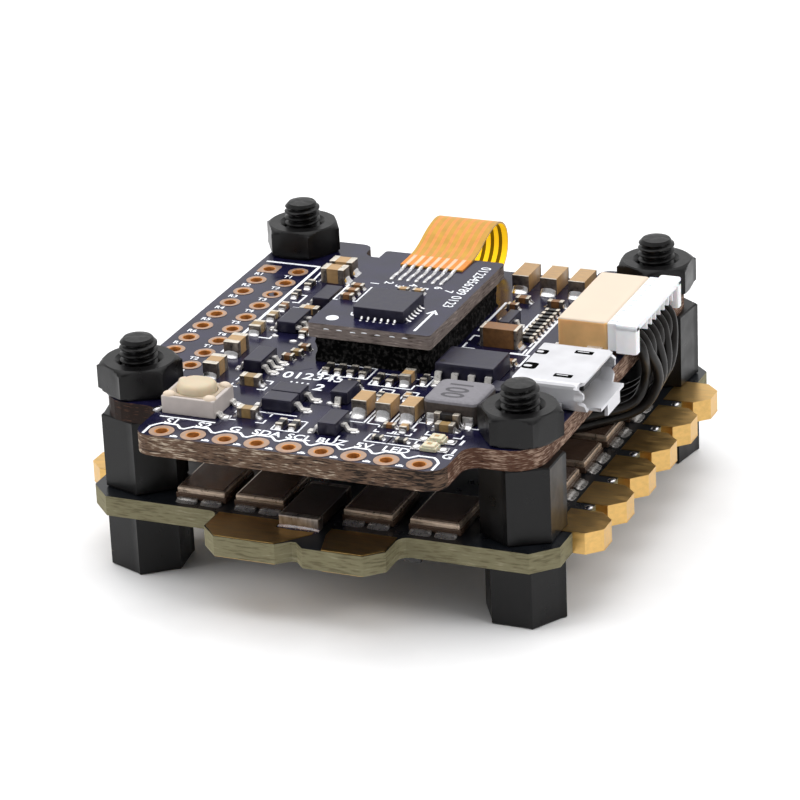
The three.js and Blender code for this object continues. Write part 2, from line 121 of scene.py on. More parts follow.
BRIGHT_SIDE = Vector((-0.3, 0.7, 0.65)).normalized()
TENT_FACING = (-0.4, 0.75)  # share of a direction that faces the bright side, at the dim and bright ends
TENT_STRENGTH = (0.24, 0.86)
# Each lamp: name, place, watts, size, and whether glossy surfaces mirror it.
LAMPS = [
    ("key", (-0.10, 0.18, 0.54), 2.2, 0.8, True),
    ("overhead", (0.0, -0.03, 0.60), 1.1, 0.45, False),
    ("left fill", (-0.40, -0.22, 0.23), 1.05, 0.25, False),
    ("right fill", (0.40, -0.06, 0.34), 0.95, 0.25, False),
]


def add_camera():
    """A long lens in front of the stack and to its right, looking down on it."""
    flat = math.cos(ELEVATION)
    back = Vector((math.sin(AZIMUTH) * flat, -math.cos(AZIMUTH) * flat, math.sin(ELEVATION)))
    right = Vector((math.cos(AZIMUTH), math.sin(AZIMUTH), 0))
    up = back.cross(right)
    rolled_right = math.cos(ROLL) * right + math.sin(ROLL) * up
    rolled_up = math.cos(ROLL) * up - math.sin(ROLL) * right
    lens = bpy.data.cameras.new("camera")
    lens.lens = FOCAL_LENGTH
    lens.sensor_width = SENSOR_WIDTH
    lens.clip_start = NEAREST_SEEN
    camera = bpy.data.objects.new("camera", lens)
    place = Matrix((rolled_right, rolled_up, back)).transposed().to_4x4()
    place.translation = TARGET + DISTANCE * back
    camera.matrix_world = place
    bpy.context.scene.collection.objects.link(camera)
    bpy.context.scene.camera = camera


def area_light(name, spot, watts, size, mirrored):
    """A square lamp that faces the stack."""
    lamp = bpy.data.lights.new(name, "AREA")
    lamp.energy = watts
    lamp.size = size
    light = bpy.data.objects.new(name, lamp)
    light.location = spot
    light.rotation_euler = (TARGET - Vector(spot)).to_track_quat("-Z", "Y").to_euler()
    light.visible_glossy = mirrored
    bpy.context.scene.collection.objects.link(light)


def range_node(tree, value, given, wanted):
    """Maps the range `given` onto the range `wanted`, and stops at its ends."""
    made = tree.nodes.new("ShaderNodeMapRange")
    for end, limits in (("From", given), ("To", wanted)):
        made.inputs[end + " Min"].default_value = limits[0]
        made.inputs[end + " Max"].default_value = limits[1]
    tree.links.new(value, made.inputs["Value"])
    return made.outputs["Result"]


def add_studio():
    """A white tent, bright behind and above the stack and dim on the viewer's side, and soft lamps."""
    world = bpy.data.worlds.new("studio")
    world.use_nodes = True
    tree = world.node_tree
    sky = tree.nodes["Background"]
    sky.inputs["Color"].default_value = (1, 1, 1, 1)
    direction = tree.nodes.new("ShaderNodeTexCoord")
    facing = tree.nodes.new("ShaderNodeVectorMath")
    facing.operation = "DOT_PRODUCT"
    facing.inputs[1].default_value = BRIGHT_SIDE
    tree.links.new(direction.outputs["Generated"], facing.inputs[0])
    glow = range_node(tree, facing.outputs["Value"], TENT_FACING, TENT_STRENGTH)
    tree.links.new(glow, sky.inputs["Strength"])
    bpy.context.scene.world = world
    bpy.context.scene.view_settings.view_transform = "Standard"
    for lamp in LAMPS:
        area_light(*lamp)


add_camera()
add_studio()


# ---- finishes ----

FINISHES = {}


def new_finish(name):
    """A material under `name`; returns its node tree, its shader and the place on the object."""
    made = bpy.data.materials.new(name)
    made.use_nodes = True
    FINISHES[name] = made
    tree = made.node_tree
    place = tree.nodes.new("ShaderNodeTexCoord")
    return tree, tree.nodes["Principled BSDF"], place.outputs["Object"]


def noise_node(tree, place, size, detail=3.0):
    """Noise whose features are about `size` mm; size may be one number or one per axis."""
    sizes = size if isinstance(size, tuple) else (size, size, size)
    scaled = tree.nodes.new("ShaderNodeVectorMath")
    scaled.operation = "MULTIPLY"
    scaled.inputs[1].default_value = [1 / (s * MM) for s in sizes]
    tree.links.new(place, scaled.inputs[0])
    made = tree.nodes.new("ShaderNodeTexNoise")
    made.inputs["Scale"].default_value = 1
    made.inputs["Detail"].default_value = detail
    tree.links.new(scaled.outputs[0], made.inputs["Vector"])
    return made.outputs["Fac"]


def math_node(tree, operation, *values):
    """A sum of numbers and other nodes' outputs."""
    made = tree.nodes.new("ShaderNodeMath")
    made.operation = operation
    for socket, value in zip(made.inputs, values):
        if isinstance(value, float):
            socket.default_value = value
        else:
            tree.links.new(value, socket)
    return made.outputs[0]


def sum_node(tree, base, extra, share):
    """The base noise, raised or lowered by `share` of another noise about its middle."""
    centred = math_node(tree, "SUBTRACT", base, share / 2)
    return math_node(tree, "MULTIPLY_ADD", extra, share, centred)


def ramp_node(tree, factor, stops):
    """Colour by `factor`; each stop is a position and a colour."""
    made = tree.nodes.new("ShaderNodeValToRGB")
    bar = made.color_ramp
    while len(bar.elements) < len(stops):
        bar.elements.new(0.5)
    for element, (position, colour) in zip(bar.elements, stops):
        element.position = position
        element.color = (*colour, 1)
    tree.links.new(factor, made.inputs["Fac"])
    return made.outputs["Color"]


def bump_node(tree, height, depth, shader):
    """Relief of `depth` mm."""
    made = tree.nodes.new("ShaderNodeBump")
    made.inputs["Strength"].default_value = 1
    made.inputs["Distance"].default_value = depth * MM
    tree.links.new(height, made.inputs["Height"])
    tree.links.new(made.outputs["Normal"], shader.inputs["Normal"])


def rough_node(tree, factor, low, high, shader):
    """Roughness from low to high over the middle of a noise's range."""
    tree.links.new(range_node(tree, factor, (0.3, 0.7), (low, high)), shader.inputs["Roughness"])


def finish(name, colour, rough, metallic=0.0, vary=0.2, grain=0.6, fine=0.09, depth=0.002, **sockets):
    """A colour that drifts by `vary` over `grain` mm, with roughness from one value of `rough` to the other.

    A relief of features `fine` mm wide is `depth` mm deep.
    """
    tree, shader, place = new_finish(name)
    drift = noise_node(tree, place, grain)
    dark = [c * (1 - vary) for c in colour]
    light = [min(1, c * (1 + vary)) for c in colour]
    tree.links.new(ramp_node(tree, drift, [(0.3, dark), (0.7, light)]), shader.inputs["Base Color"])
    shader.inputs["Metallic"].default_value = metallic
    rough_node(tree, drift, *rough, shader)
    bump_node(tree, noise_node(tree, place, fine), depth, shader)
    for socket, value in sockets.items():
        shader.inputs[socket.replace("_", " ")].default_value = value


def laminate(name, dark, middle, pale, layer, depth, painted_light_lean=0.0, dim=0.0):
    """Cut edge of a glass-fibre board: layers of fibre `layer` mm thick, with pale cut ends.

    Its `painted_light_lean` makes it paler per mm toward the left, a painted light gradient, and its `dim`
    makes it darker everywhere, as painted shade.
    """
    tree, shader, place = new_finish(name)
    fibres = noise_node(tree, place, (layer * 8, layer * 8, layer), 5)
    layers = sum_node(tree, fibres, noise_node(tree, place, 3.0), 0.45)
    if painted_light_lean:
        side = tree.nodes.new("ShaderNodeSeparateXYZ")
        tree.links.new(place, side.inputs[0])
        layers = math_node(tree, "MULTIPLY_ADD", side.outputs["X"], -painted_light_lean / MM, layers)
    stops = [(0.34 + dim, dark), (0.48 + dim, middle), (0.58 + dim, middle), (0.74 + dim, pale)]
    tree.links.new(ramp_node(tree, layers, stops), shader.inputs["Base Color"])
    rough_node(tree, layers, 0.6, 0.85, shader)
    shader.inputs["Specular IOR Level"].default_value = 0.18
    bump_node(tree, noise_node(tree, place, (layer * 2, layer * 2, layer * 0.7), 4), depth, shader)


COOL_TINT = (0.97, 0.93, 1.0, 1)
CHIP_TINT = (0.97, 0.94, 1.0, 1)
WARM_TINT = (1.0, 0.84, 0.72, 1)


def add_board_finishes():
    finish("fc_mask", (0.0065, 0.006, 0.026), (0.15, 0.26), vary=0.35, grain=1.6, fine=0.35, depth=0.0025,
           IOR=1.48, Specular_Tint=COOL_TINT)
    finish("esc_mask", (0.006, 0.007, 0.009), (0.24, 0.38), vary=0.3, grain=1.5, fine=0.3, depth=0.003)
    # Upper board edges: brown on the front tongue, painted paler toward the left as light; red elsewhere,
    # painted darker as shade and paler toward the right as light.
    laminate("brown_laminate", (0.010, 0.006, 0.004), (0.115, 0.070, 0.046), (0.52, 0.44, 0.34),
             layer=0.095, depth=0.02, painted_light_lean=0.007)
    laminate("red_laminate_painted_shade", (0.012, 0.005, 0.003), (0.085, 0.040, 0.025), (0.34, 0.24, 0.18),
             layer=0.085, depth=0.02, painted_light_lean=-0.011, dim=0.08)
    laminate("grey_laminate", (0.075, 0.060, 0.053), (0.20, 0.165, 0.15), (0.42, 0.36, 0.33),
             layer=0.12, depth=0.008)
    laminate("olive_laminate", (0.11, 0.096, 0.052), (0.185, 0.168, 0.098), (0.27, 0.25, 0.165),
             layer=0.16, depth=0.004)
    finish("ink", (0.80, 0.82, 0.86), (0.5, 0.7), vary=0.08, grain=0.15)


def add_metal_finishes():
    finish("gold", (0.68, 0.43, 0.15), (0.28, 0.42), metallic=1.0, vary=0.10, grain=(1.4, 0.3, 0.3),
           fine=0.5, depth=0.0003)
    finish("rose_gold", (0.40, 0.265, 0.19), (0.36, 0.5), metallic=0.55, vary=0.12, grain=0.3, fine=0.2,
           depth=0.001)
    finish("hole_copper", (0.52, 0.22, 0.055), (0.5, 0.7), metallic=0.4, vary=0.3, grain=0.3)
    finish("solder", (0.72, 0.71, 0.72), (0.14, 0.30), metallic=1.0, vary=0.14, grain=0.3, fine=0.3,
           depth=0.008)
    finish("tin", (0.74, 0.72, 0.69), (0.24, 0.40), metallic=0.6, vary=0.15, grain=0.3, fine=0.2)
    # The transistors' wide terminals: a darker copy of tin, as painted shade.
    finish("tin_painted_shade", (0.44, 0.42, 0.40), (0.22, 0.36), metallic=0.75, vary=0.25, grain=0.3, fine=0.2,
           depth=0.004)
    # Plated caps of two-ended parts, two copies of one metal: darker on the sides as painted shade, lighter
    # on top as painted highlight.
    finish("cap_end", (0.29, 0.25, 0.21), (0.26, 0.42), metallic=0.85, vary=0.35, grain=0.3, fine=0.12,
           depth=0.003)
    finish("plated_cap_painted_lit_top", (0.66, 0.61, 0.53), (0.26, 0.42), metallic=0.7, vary=0.15, grain=0.3, fine=0.12,
           depth=0.003)
    finish("steel", (0.62, 0.62, 0.645), (0.28, 0.40), metallic=0.45, vary=0.05, grain=1.5, fine=0.2,
           depth=0.0006)
    finish("shunt_end", (0.36, 0.31, 0.27), (0.26, 0.45), metallic=0.9, vary=0.35, grain=(0.25, 0.9, 0.9),
           fine=0.12, depth=0.004)
    finish("mosfet_rim", (0.50, 0.39, 0.30), (0.25, 0.4), metallic=0.7, grain=0.5, fine=0.3, depth=0.0005)


def add_part_finishes():
    finish("chip_epoxy", (0.0105, 0.0100, 0.023), (0.28, 0.40), vary=0.3, grain=0.5, fine=0.06,
           Specular_Tint=CHIP_TINT)
    finish("mosfet_epoxy", (0.064, 0.038, 0.026), (0.14, 0.22), vary=0.12, grain=0.9, fine=0.5, depth=0.0002,
           Specular_IOR_Level=0.85, Specular_Tint=WARM_TINT)
    finish("resistor_black", (0.012, 0.011, 0.012), (0.25, 0.4), vary=0.3, grain=0.2)
    finish("tan_ceramic", (0.38, 0.235, 0.105), (0.34, 0.52), vary=0.18, grain=(0.8, 0.12, 0.4), fine=0.05,
           depth=0.003)
    finish("brown_ceramic", (0.20, 0.093, 0.032), (0.34, 0.52), grain=0.3, fine=0.05, depth=0.003)
    finish("gold_ceramic", (0.27, 0.175, 0.07), (0.30, 0.45), grain=0.3, fine=0.05, depth=0.003)
    finish("ferrite", (0.17, 0.163, 0.18), (0.50, 0.70), vary=0.14, grain=0.25, fine=0.06, depth=0.006)
    # Inductor sides: a darker, browner copy of the ferrite, as painted shade.
    finish("ferrite_painted_shaded_side", (0.046, 0.035, 0.030), (0.50, 0.70), vary=0.3, grain=0.25, fine=0.06, depth=0.008)
    finish("ferrite_mark", (0.055, 0.052, 0.06), (0.5, 0.7), grain=0.2)
    finish("shunt_coat", (0.028, 0.018, 0.013), (0.3, 0.45), vary=0.3, grain=0.3, fine=0.1, depth=0.004)
    finish("light_white", (0.58, 0.53, 0.38), (0.25, 0.4), vary=0.12, grain=0.3, Subsurface_Weight=0.2,
           Subsurface_Scale=0.0005)


def add_plastic_finishes():
    finish("nylon", (0.0034, 0.0032, 0.0034), (0.27, 0.42), vary=0.3, grain=1.2, fine=0.14, depth=0.004,
           Specular_IOR_Level=0.27)
    finish("beige_nylon", (0.61, 0.505, 0.40), (0.42, 0.58), vary=0.03, grain=1.5)
    # Socket sides: a deeper amber copy of the socket's nylon, as painted shade.
    finish("amber_nylon_painted_shade", (0.70, 0.42, 0.175), (0.42, 0.58), vary=0.12, grain=1.6, Subsurface_Weight=0.3,
           Subsurface_Scale=0.001, Subsurface_Radius=(1.0, 0.6, 0.3))
    finish("white_nylon", (0.80, 0.80, 0.82), (0.34, 0.5), vary=0.03, grain=1.5, Subsurface_Weight=0.2,
           Subsurface_Scale=0.0008)
    finish("switch_grey", (0.48, 0.43, 0.405), (0.42, 0.58), vary=0.06, grain=0.8)
    finish("switch_cream", (0.50, 0.415, 0.29), (0.36, 0.5), vary=0.04, grain=0.8, Subsurface_Weight=0.2,
           Subsurface_Scale=0.0008)
    finish("switch_plate", (0.44, 0.36, 0.27), (0.3, 0.45), metallic=0.2, vary=0.1, grain=0.5)
    finish("black_plastic", (0.009, 0.009, 0.009), (0.4, 0.55), grain=0.5)
    # Near-black patches standing in for the shade inside openings: painted shade.
    finish("painted_opening_shade", (0.0015, 0.0015, 0.0015), (0.9, 1.0), Specular_IOR_Level=0.02)
    finish("silicone", (0.0075, 0.0062, 0.0055), (0.32, 0.44), vary=0.25, grain=0.8, fine=0.12, depth=0.001,
           Specular_IOR_Level=0.30)


def add_film_finishes():
    """The ribbon: outer face, inner face, and tracks, with a warmer pair near the gyro board. The inner face
    and its tracks glow: painted light standing in for light through the film.
    """
    finish("film", (0.47, 0.255, 0.035), (0.30, 0.45), vary=0.12, grain=1.0, fine=0.5, depth=0.001,
           Specular_IOR_Level=0.2)
    # Inner face and its tracks: glowing finishes, painted light that stands in for light through the film.
    finish("film_inside_painted_glow", (0.92, 0.60, 0.015), (0.16, 0.26), vary=0.05, grain=1.0, Emission_Strength=0.55,
           Emission_Color=(0.92, 0.58, 0.02, 1))
    finish("film_track", (0.60, 0.235, 0.055), (0.30, 0.45), vary=0.08, grain=0.5, Specular_IOR_Level=0.2)
    finish("film_near_board", (0.60, 0.20, 0.020), (0.30, 0.45), vary=0.12, Specular_IOR_Level=0.25)
    finish("film_track_near_board", (0.68, 0.44, 0.30), (0.30, 0.45), vary=0.12, Specular_IOR_Level=0.3)
    finish("film_track_inside_painted_glow", (0.10, 0.06, 0.002), (0.3, 0.4), vary=0.1, grain=0.5, Emission_Strength=0.3,
           Emission_Color=(0.25, 0.14, 0.0, 1))


def add_foam_finish():
    tree, shader, place = new_finish("foam")
    cells = noise_node(tree, place, 0.28, 6)
    stops = [(0.48, (0.0005, 0.0005, 0.0005)), (0.70, (0.040, 0.038, 0.037))]
    tree.links.new(ramp_node(tree, cells, stops), shader.inputs["Base Color"])
    rough_node(tree, cells, 0.8, 1.0, shader)
    shader.inputs["Specular IOR Level"].default_value = 0.12
    bump_node(tree, cells, 0.12, shader)


def add_floor_finish():
    tree, shader, place = new_finish("floor_paper")
    fibre = noise_node(tree, place, 6.0)
    stops = [(0.3, (0.81, 0.81, 0.815)), (0.7, (0.85, 0.85, 0.855))]
    tree.links.new(ramp_node(tree, fibre, stops), shader.inputs["Base Color"])
    rough_node(tree, fibre, 0.55, 0.7, shader)


add_board_finishes()
add_metal_finishes()
add_part_finishes()
add_plastic_finishes()
add_film_finishes()
add_foam_finish()
add_floor_finish()


# ---- shapes ----


class Shape:
    """Collects closed solids, in pattern millimetres, that become one named piece."""

    def __init__(self):
        self.points = []
        self.faces = []
        self.finishes = []

    def add(self, points, faces, finish_name):
        """Takes in a solid whose faces are lists of places in `points`."""
        start = len(self.points)
        self.points.extend(tuple(p) for p in points)
        self.faces.extend([start + i for i in face] for face in faces)
        self.finishes.extend([finish_name] * len(faces))

    def loft(self, rings, finish_name, looped=False):
        """A skin over rings of equal length, capped at both ends or joined end to end."""
        n = len(rings[0])
        total = len(rings)
        faces = []
        for r in range(total if looped else total - 1):
            for i in range(n):
                j = (i + 1) % n
                above = (r + 1) % total
                faces.append([r * n + i, r * n + j, above * n + j, above * n + i])
        if not looped:
            faces.append(list(range(n))[::-1])
            faces.append([(total - 1) * n + i for i in range(n)])
        self.add([p for ring in rings for p in ring], faces, finish_name)

    def block(self, x, y, z, finish_name, edge=0.05, corner=None, top=None):
        """A block with rounded upright corners and a softened top edge; `top` is that edge's finish."""
        corner = edge if corner is None else corner
        profile = ((0, z[0]), (0, z[1] - edge * 1.4), (0, z[1] - edge), (edge * 0.3, z[1] - edge * 0.3),
                   (edge, z[1]), (edge * 1.5, z[1]))
        rings = []
        for inset, height in profile:
            rings.append([(px, py, height) for px, py in oblong(x, y, inset, corner)])
        self.loft(rings, finish_name)
        if top:
            around = len(rings[0])
            self.finishes[-1] = top
            self.finishes[-2 - 3 * around:-2] = [top] * (3 * around)

    def turned(self, x, y, profile, finish_name, segments=24, looped=True):
        """A ring turned round an upright axis from (radius, z) pairs, or a solid if it isn't looped."""
        rings = []
        for radius, z in profile:
            ring = []
            for k in range(segments):
                angle = 2 * math.pi * k / segments
                ring.append((x + radius * math.cos(angle), y + radius * math.sin(angle), z))
            rings.append(ring)
        self.loft(rings, finish_name, looped)

    def holed_plate(self, x, y, half, hole, z, finish_name, segments=32):
        """A rectangular plate with an oval hole through it; half and hole are X and Y pairs."""
        rings = []
        for is_hole, height in ((False, z[0]), (False, z[1]), (True, z[1]), (True, z[0])):
            ring = []
            for k in range(segments):
                angle = 2 * math.pi * (k + 0.5) / segments
                c, s = math.cos(angle), math.sin(angle)
                if is_hole:
                    px, py = hole[0] * c, hole[1] * s
                else:
                    reach = 1 / max(abs(c), abs(s))
                    px, py = half[0] * c * reach, half[1] * s * reach
                ring.append((x + px, y + py, height))
            rings.append(ring)
        self.loft(rings, finish_name, looped=True)

    def fillet(self, x, y, z, heading, reach, height, width, finish_name="solder"):
        """Solder climbing a wall at (x, y) with a hollow slope that runs out along heading."""
        dx, dy = heading
        rings = []
        for t in (-1, -0.94, -0.8, -0.4, 0.4, 0.8, 0.94, 1):
            full = 0.55 + 0.45 * math.sqrt(1 - t * t)
            profile = [(-0.05, 0), (reach, 0)]
            for out, up in ((0.9, 0.09), (0.55, 0.22), (0.25, 0.48), (0.08, 0.82)):
                profile.append((reach * out, height * up))
            profile.append((-0.05, height))
            across = t * width / 2
            ring = []
            for out, up in profile:
                out = out * full if out > 0 else out
                ring.append((x + dx * out - dy * across, y + dy * out + dx * across, z + up * full))
            rings.append(ring)
        self.loft(rings, finish_name)

    def dome(self, x, y, z, radius_x, radius_y, height, finish_name, segments=14):
        """A low rounded blob on a surface."""
        rings = []
        for k in range(5):
            rise = k / 4 * math.pi / 2
            lift = z + height * math.sin(rise)
            reach = max(0.08, math.cos(rise))
            ring = []
            for i in range(segments):
                angle = 2 * math.pi * i / segments
                px = reach * radius_x * math.cos(angle)
                py = reach * radius_y * math.sin(angle)
                ring.append((x + px, y + py, lift))
            rings.append(ring)
        self.loft(rings, finish_name)

    def strip(self, path, width, thickness, finish_name, across=None):
        """A flat bar along a path. `across` is its width direction, or None for a level bar."""
        rings = []
        for i, point in enumerate(path):
            before = Vector(path[max(i - 1, 0)])
            after = Vector(path[min(i + 1, len(path) - 1)])
            here = Vector(point)
            inward = (here - before).normalized() if i else (after - here).normalized()
            outward = (after - here).normalized() if i < len(path) - 1 else inward
            along = (inward + outward).normalized()
            if across is None:
                side = Vector((-along.y, along.x, 0)).normalized()
                share = max(0.5, side.dot(Vector((-inward.y, inward.x, 0)).normalized()))
                side = side * width / 2 / share
                lift = Vector((0, 0, thickness))
                low = Vector((0, 0, 0))
            else:
                side = Vector(across).normalized() * width / 2
                up = along.cross(Vector(across).normalized())
                up = up if up.z >= 0 or abs(up.z) < 0.02 else -up
                share = max(0.5, abs(along.dot(inward)))
                lift = up * thickness / 2 / share
                low = -lift
            rings.append([here - side + low, here + side + low, here + side + lift, here - side + lift])
        self.loft(rings, finish_name)

    def line(self, points, z, width=0.16, finish_name="ink", height=PRINT):
        """A level line through (x, y) places, printed unless another finish is named."""
        self.strip([(x, y, z) for x, y in points], width, height, finish_name)

    def frame(self, x, y, z):
        """A printed rectangle, drawn as four lines."""
        corners = [(x[0], y[0]), (x[1], y[0]), (x[1], y[1]), (x[0], y[1])]
        for k in range(4):
            self.line([corners[k], corners[(k + 1) % 4]], z, THIN_LINE)

    def brackets(self, x, y, z, reach, width=THIN_LINE):
        """Four printed corner marks."""
        for cx, toward_x in ((x[0], 1), (x[1], -1)):
            for cy, toward_y in ((y[0], 1), (y[1], -1)):
                self.line([(cx + toward_x * reach, cy), (cx, cy), (cx, cy + toward_y * reach)], z, width)

    def words(self, text, x, y, z, size, turn=0.0, finish_name="ink", height=PRINT, bold=0.0, narrow=1.0):
        """Raised letters about a middle point, thicker by `bold` and scaled in width by `narrow`."""
        curve = bpy.data.curves.new("words", "FONT")
        curve.body = text
        curve.size = size
        curve.extrude = height
        curve.offset = bold
        curve.align_x = "CENTER"
        curve.align_y = "CENTER"
        curve.resolution_u = 3
        holder = bpy.data.objects.new("words", curve)
        mesh = bpy.data.meshes.new_from_object(holder)
        work = bmesh.new()
        work.from_mesh(mesh)
        bmesh.ops.remove_doubles(work, verts=work.verts, dist=1e-5)
        work.to_mesh(mesh)
        work.free()
        corners = []
        for vertex in mesh.vertices:
            px, py = spun(vertex.co.x * narrow, vertex.co.y, turn)
            corners.append((x + px, y + py, z + vertex.co.z))
        self.add(corners, [list(p.vertices) for p in mesh.polygons], finish_name)
        bpy.data.objects.remove(holder)
        bpy.data.curves.remove(curve)
        bpy.data.meshes.remove(mesh)

    def piece(self, name, body="stack", stands_for=(), sharp=32):
        """Makes the collected solids one object."""
        mesh = bpy.data.meshes.new(name)
        mesh.from_pydata([at(*p) for p in self.points], [], self.faces)
        return dressed(name, mesh, self.finishes, body, stands_for, sharp)


def dressed(name, mesh, finishes, body, stands_for, sharp):
    """An object with a finish per face, shaded smooth up to `sharp` degrees, on its body, with the CAD parts
    it stands for hidden.
    """
    used = list(dict.fromkeys(finishes))
    for finish_name in used:
        mesh.materials.append(FINISHES[finish_name])
    mesh.polygons.foreach_set("material_index", [used.index(f) for f in finishes])
    mesh.shade_smooth()
    mesh.set_sharp_from_angle(angle=math.radians(sharp))
    made = bpy.data.objects.new(name, mesh)
    bpy.context.scene.collection.objects.link(made)
    if body:
        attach(made, body)
    if stands_for:
        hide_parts(*stands_for)
    return made


def spun(x, y, degrees):
    """A point turned about the origin."""
    angle = math.radians(degrees)
    return x * math.cos(angle) - y * math.sin(angle), x * math.sin(angle) + y * math.cos(angle)


def oblong(x, y, inset, corner, steps=2):
    """Outline of a rectangle with rounded corners, anticlockwise."""
    cx, cy = sum(x) / 2, sum(y) / 2
    half_x = (x[1] - x[0]) / 2 - inset
    half_y = (y[1] - y[0]) / 2 - inset
    radius = max(0.004, min(corner, half_x * 0.95, half_y * 0.95))
    outline = []
    for sx, sy, first in ((1, 1, 0), (-1, 1, 90), (-1, -1, 180), (1, -1, 270)):
        for k in range(steps + 1):
            angle = math.radians(first + 90 * k / steps)
            outline.append((cx + sx * (half_x - radius) + radius * math.cos(angle),
                            cy + sy * (half_y - radius) + radius * math.sin(angle)))
    return outline


def refined(node, choose, edge=0.0, segments=2, sharp=20, reshape=None):
    """Stands for a CAD node with a copy whose flat faces are joined and edges rounded.

    `choose` gives the finish from a face's normal and centre.
    """
    source = frame["nodes"][node]
    work = bmesh.new()
    work.from_mesh(source.data)
    bmesh.ops.remove_doubles(work, verts=work.verts, dist=WELD)
    bmesh.ops.dissolve_limit(work, angle_limit=math.radians(0.6), verts=work.verts, edges=work.edges)
    if reshape:
        reshape(work)
    if edge:
        bend = math.radians(35)
        hard = [e for e in work.edges if e.is_manifold and e.calc_face_angle(0) > bend]
        bmesh.ops.bevel(work, geom=hard, offset=edge * MM, segments=segments, profile=0.5,
                        affect="EDGES", clamp_overlap=True)
    mesh = bpy.data.meshes.new(node + "_detail")
    work.to_mesh(mesh)
    work.free()
    finishes = []
    for face in mesh.polygons:
        centre = face.center / MM
        finishes.append(choose(face.normal, (centre.x, centre.y - PATTERN_SHIFT, centre.z)))
    made = dressed(node + "_detail", mesh, finishes, source["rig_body"], [node], sharp)
    for face in mesh.polygons:
        face.use_smooth = face.area < FLAT_AREA
    return made


# ---- harness wires ----

WIRE_RADIUS = 0.39
WIRE_COUNT = 8
WIRE_PITCH = 1.0
LAYER_OFFSET = 0.47  # where the bundle is close, odd and even wires lie this far off its middle layer
ROUTE_STEPS = 40  # places worked out along a wire
FINE_STEPS = 70  # places on the curve through them
# Middle of the bundle: place, how close the wires are (0 to 1), and the heading of their row in degrees.
BUNDLE = [
    (17.0, 5.05, 15.85, 0, 90),
    (17.64, 5.05, 15.74, 0, 90),
    (18.24, 5.05, 15.36, 0, 90),
    (18.65, 5.05, 14.78, 0, 90),
    (18.82, 5.06, 14.05, 0.1, 90),
    (18.82, 5.25, 13.0, 0.5, 90),
    (18.66, 5.55, 11.8, 0.87, 91),
    (18.2, 5.7, 10.4, 1, 96),
    (17.3, 5.45, 9.2, 1, 106),
    (15.95, 4.6, 8.62, 1, 122),
    (14.55, 3.1, 8.56, 1, 136),
    (13.1, 1.3, 8.6, 1, 142),
    (11.4, -0.7, 8.6, 1, 136),
    (9.1, -2.3, 8.6, 1, 118),
    (6.4, -3.05, 8.55, 1, 100),
    (3.6, -3.2, 8.5, 0.75, 92),
    (0.6, -3.2, 8.35, 0.4, 90),
    (-1.9, -3.2, 8.25, 0.1, 90),
    (-5.1, -3.2, 8.25, 0, 90),
]


def smooth_point(points, t):
    """A point on the centripetal Catmull-Rom curve through points, with t from 0 to 1."""
    last = len(points) - 1
    i = min(int(t * last), last - 1)
    w = t * last - i
    p1, p2 = points[i], points[i + 1]
    p0 = points[i - 1] if i else 2 * points[0] - points[1]
    p3 = points[i + 2] if i + 2 <= last else 2 * points[last] - points[last - 1]
    least = 1e-4
    d1 = (p2 - p1).length ** 0.5
    d1 = d1 if d1 > least else 1.0
    d0 = (p1 - p0).length ** 0.5
    d0 = d0 if d0 > least else d1
    d2 = (p3 - p2).length ** 0.5
    d2 = d2 if d2 > least else d1
    t1 = ((p1 - p0) / d0 - (p2 - p0) / (d0 + d1) + (p2 - p1) / d1) * d1
    t2 = ((p2 - p1) / d1 - (p3 - p1) / (d1 + d2) + (p3 - p2) / d2) * d1
    return p1 + t1 * w + (-3 * p1 + 3 * p2 - 2 * t1 - t2) * w**2 + (2 * p1 - 2 * p2 + t1 + t2) * w**3


def wire_route(i):
    """Places along wire i, from the upper plug to the lower one."""
    middle = [Vector(row[:3]) for row in BUNDLE]
    manner = [Vector((row[3], row[4], 0)) for row in BUNDLE]
    points = []
    for k in range(ROUTE_STEPS + 1):
        t = k / ROUTE_STEPS
        close, degrees = smooth_point(manner, t).xy
        closeness = min(max(close, 0), 1)
        heading = math.radians(degrees)
        across = Vector((math.cos(heading), math.sin(heading), 0))
        tangent = smooth_point(middle, min(t + 1e-4, 1)) - smooth_point(middle, max(t - 1e-4, 0))
        layer_normal = across.cross(tangent).normalized()
        offset = (i - (WIRE_COUNT - 1) / 2) * (1 - 0.5 * closeness)
        layer = (-LAYER_OFFSET if i % 2 else LAYER_OFFSET) * closeness
        points.append(smooth_point(middle, t) + across * offset + layer_normal * layer)
    return [smooth_point(points, j / FINE_STEPS) for j in range(FINE_STEPS + 1)]


def add_wires():
    for i in range(WIRE_COUNT):
        node = f"harness_wire_{i + 1}"
        route = [at(*p) for p in wire_route(i)]
        curve = bpy.data.curves.new(node + "_cord", "CURVE")
        curve.dimensions = "3D"
        curve.bevel_depth = WIRE_RADIUS * MM
        curve.bevel_resolution = 4
        curve.use_fill_caps = True
        spline = curve.splines.new("POLY")
        spline.points.add(len(route) - 1)
        for point, place in zip(spline.points, route):
            point.co = (*place, 1)
        spline.use_smooth = True
        curve.materials.append(FINISHES["silicone"])
        wire = bpy.data.objects.new(node + "_cord", curve)
        bpy.context.scene.collection.objects.link(wire)
        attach(wire, "stack")
        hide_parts(node)


add_wires()


# ---- floor ----


def add_floor():
    half = 1.5
    corners = [(-half, -half, 0), (half, -half, 0), (half, half, 0), (-half, half, 0)]
    mesh = bpy.data.meshes.new("floor")
    mesh.from_pydata(corners, [], [(0, 1, 2, 3)])
    mesh.materials.append(FINISHES["floor_paper"])
    floor = bpy.data.objects.new("floor", mesh)
    bpy.context.scene.collection.objects.link(floor)


add_floor()


# ---- boards ----


TAB_ROOT = 18.76  # the plated motor tabs stand out beyond this distance from the middle
TONGUE_ROOT = -21  # the front pads' tongue of the upper board lies in front of this


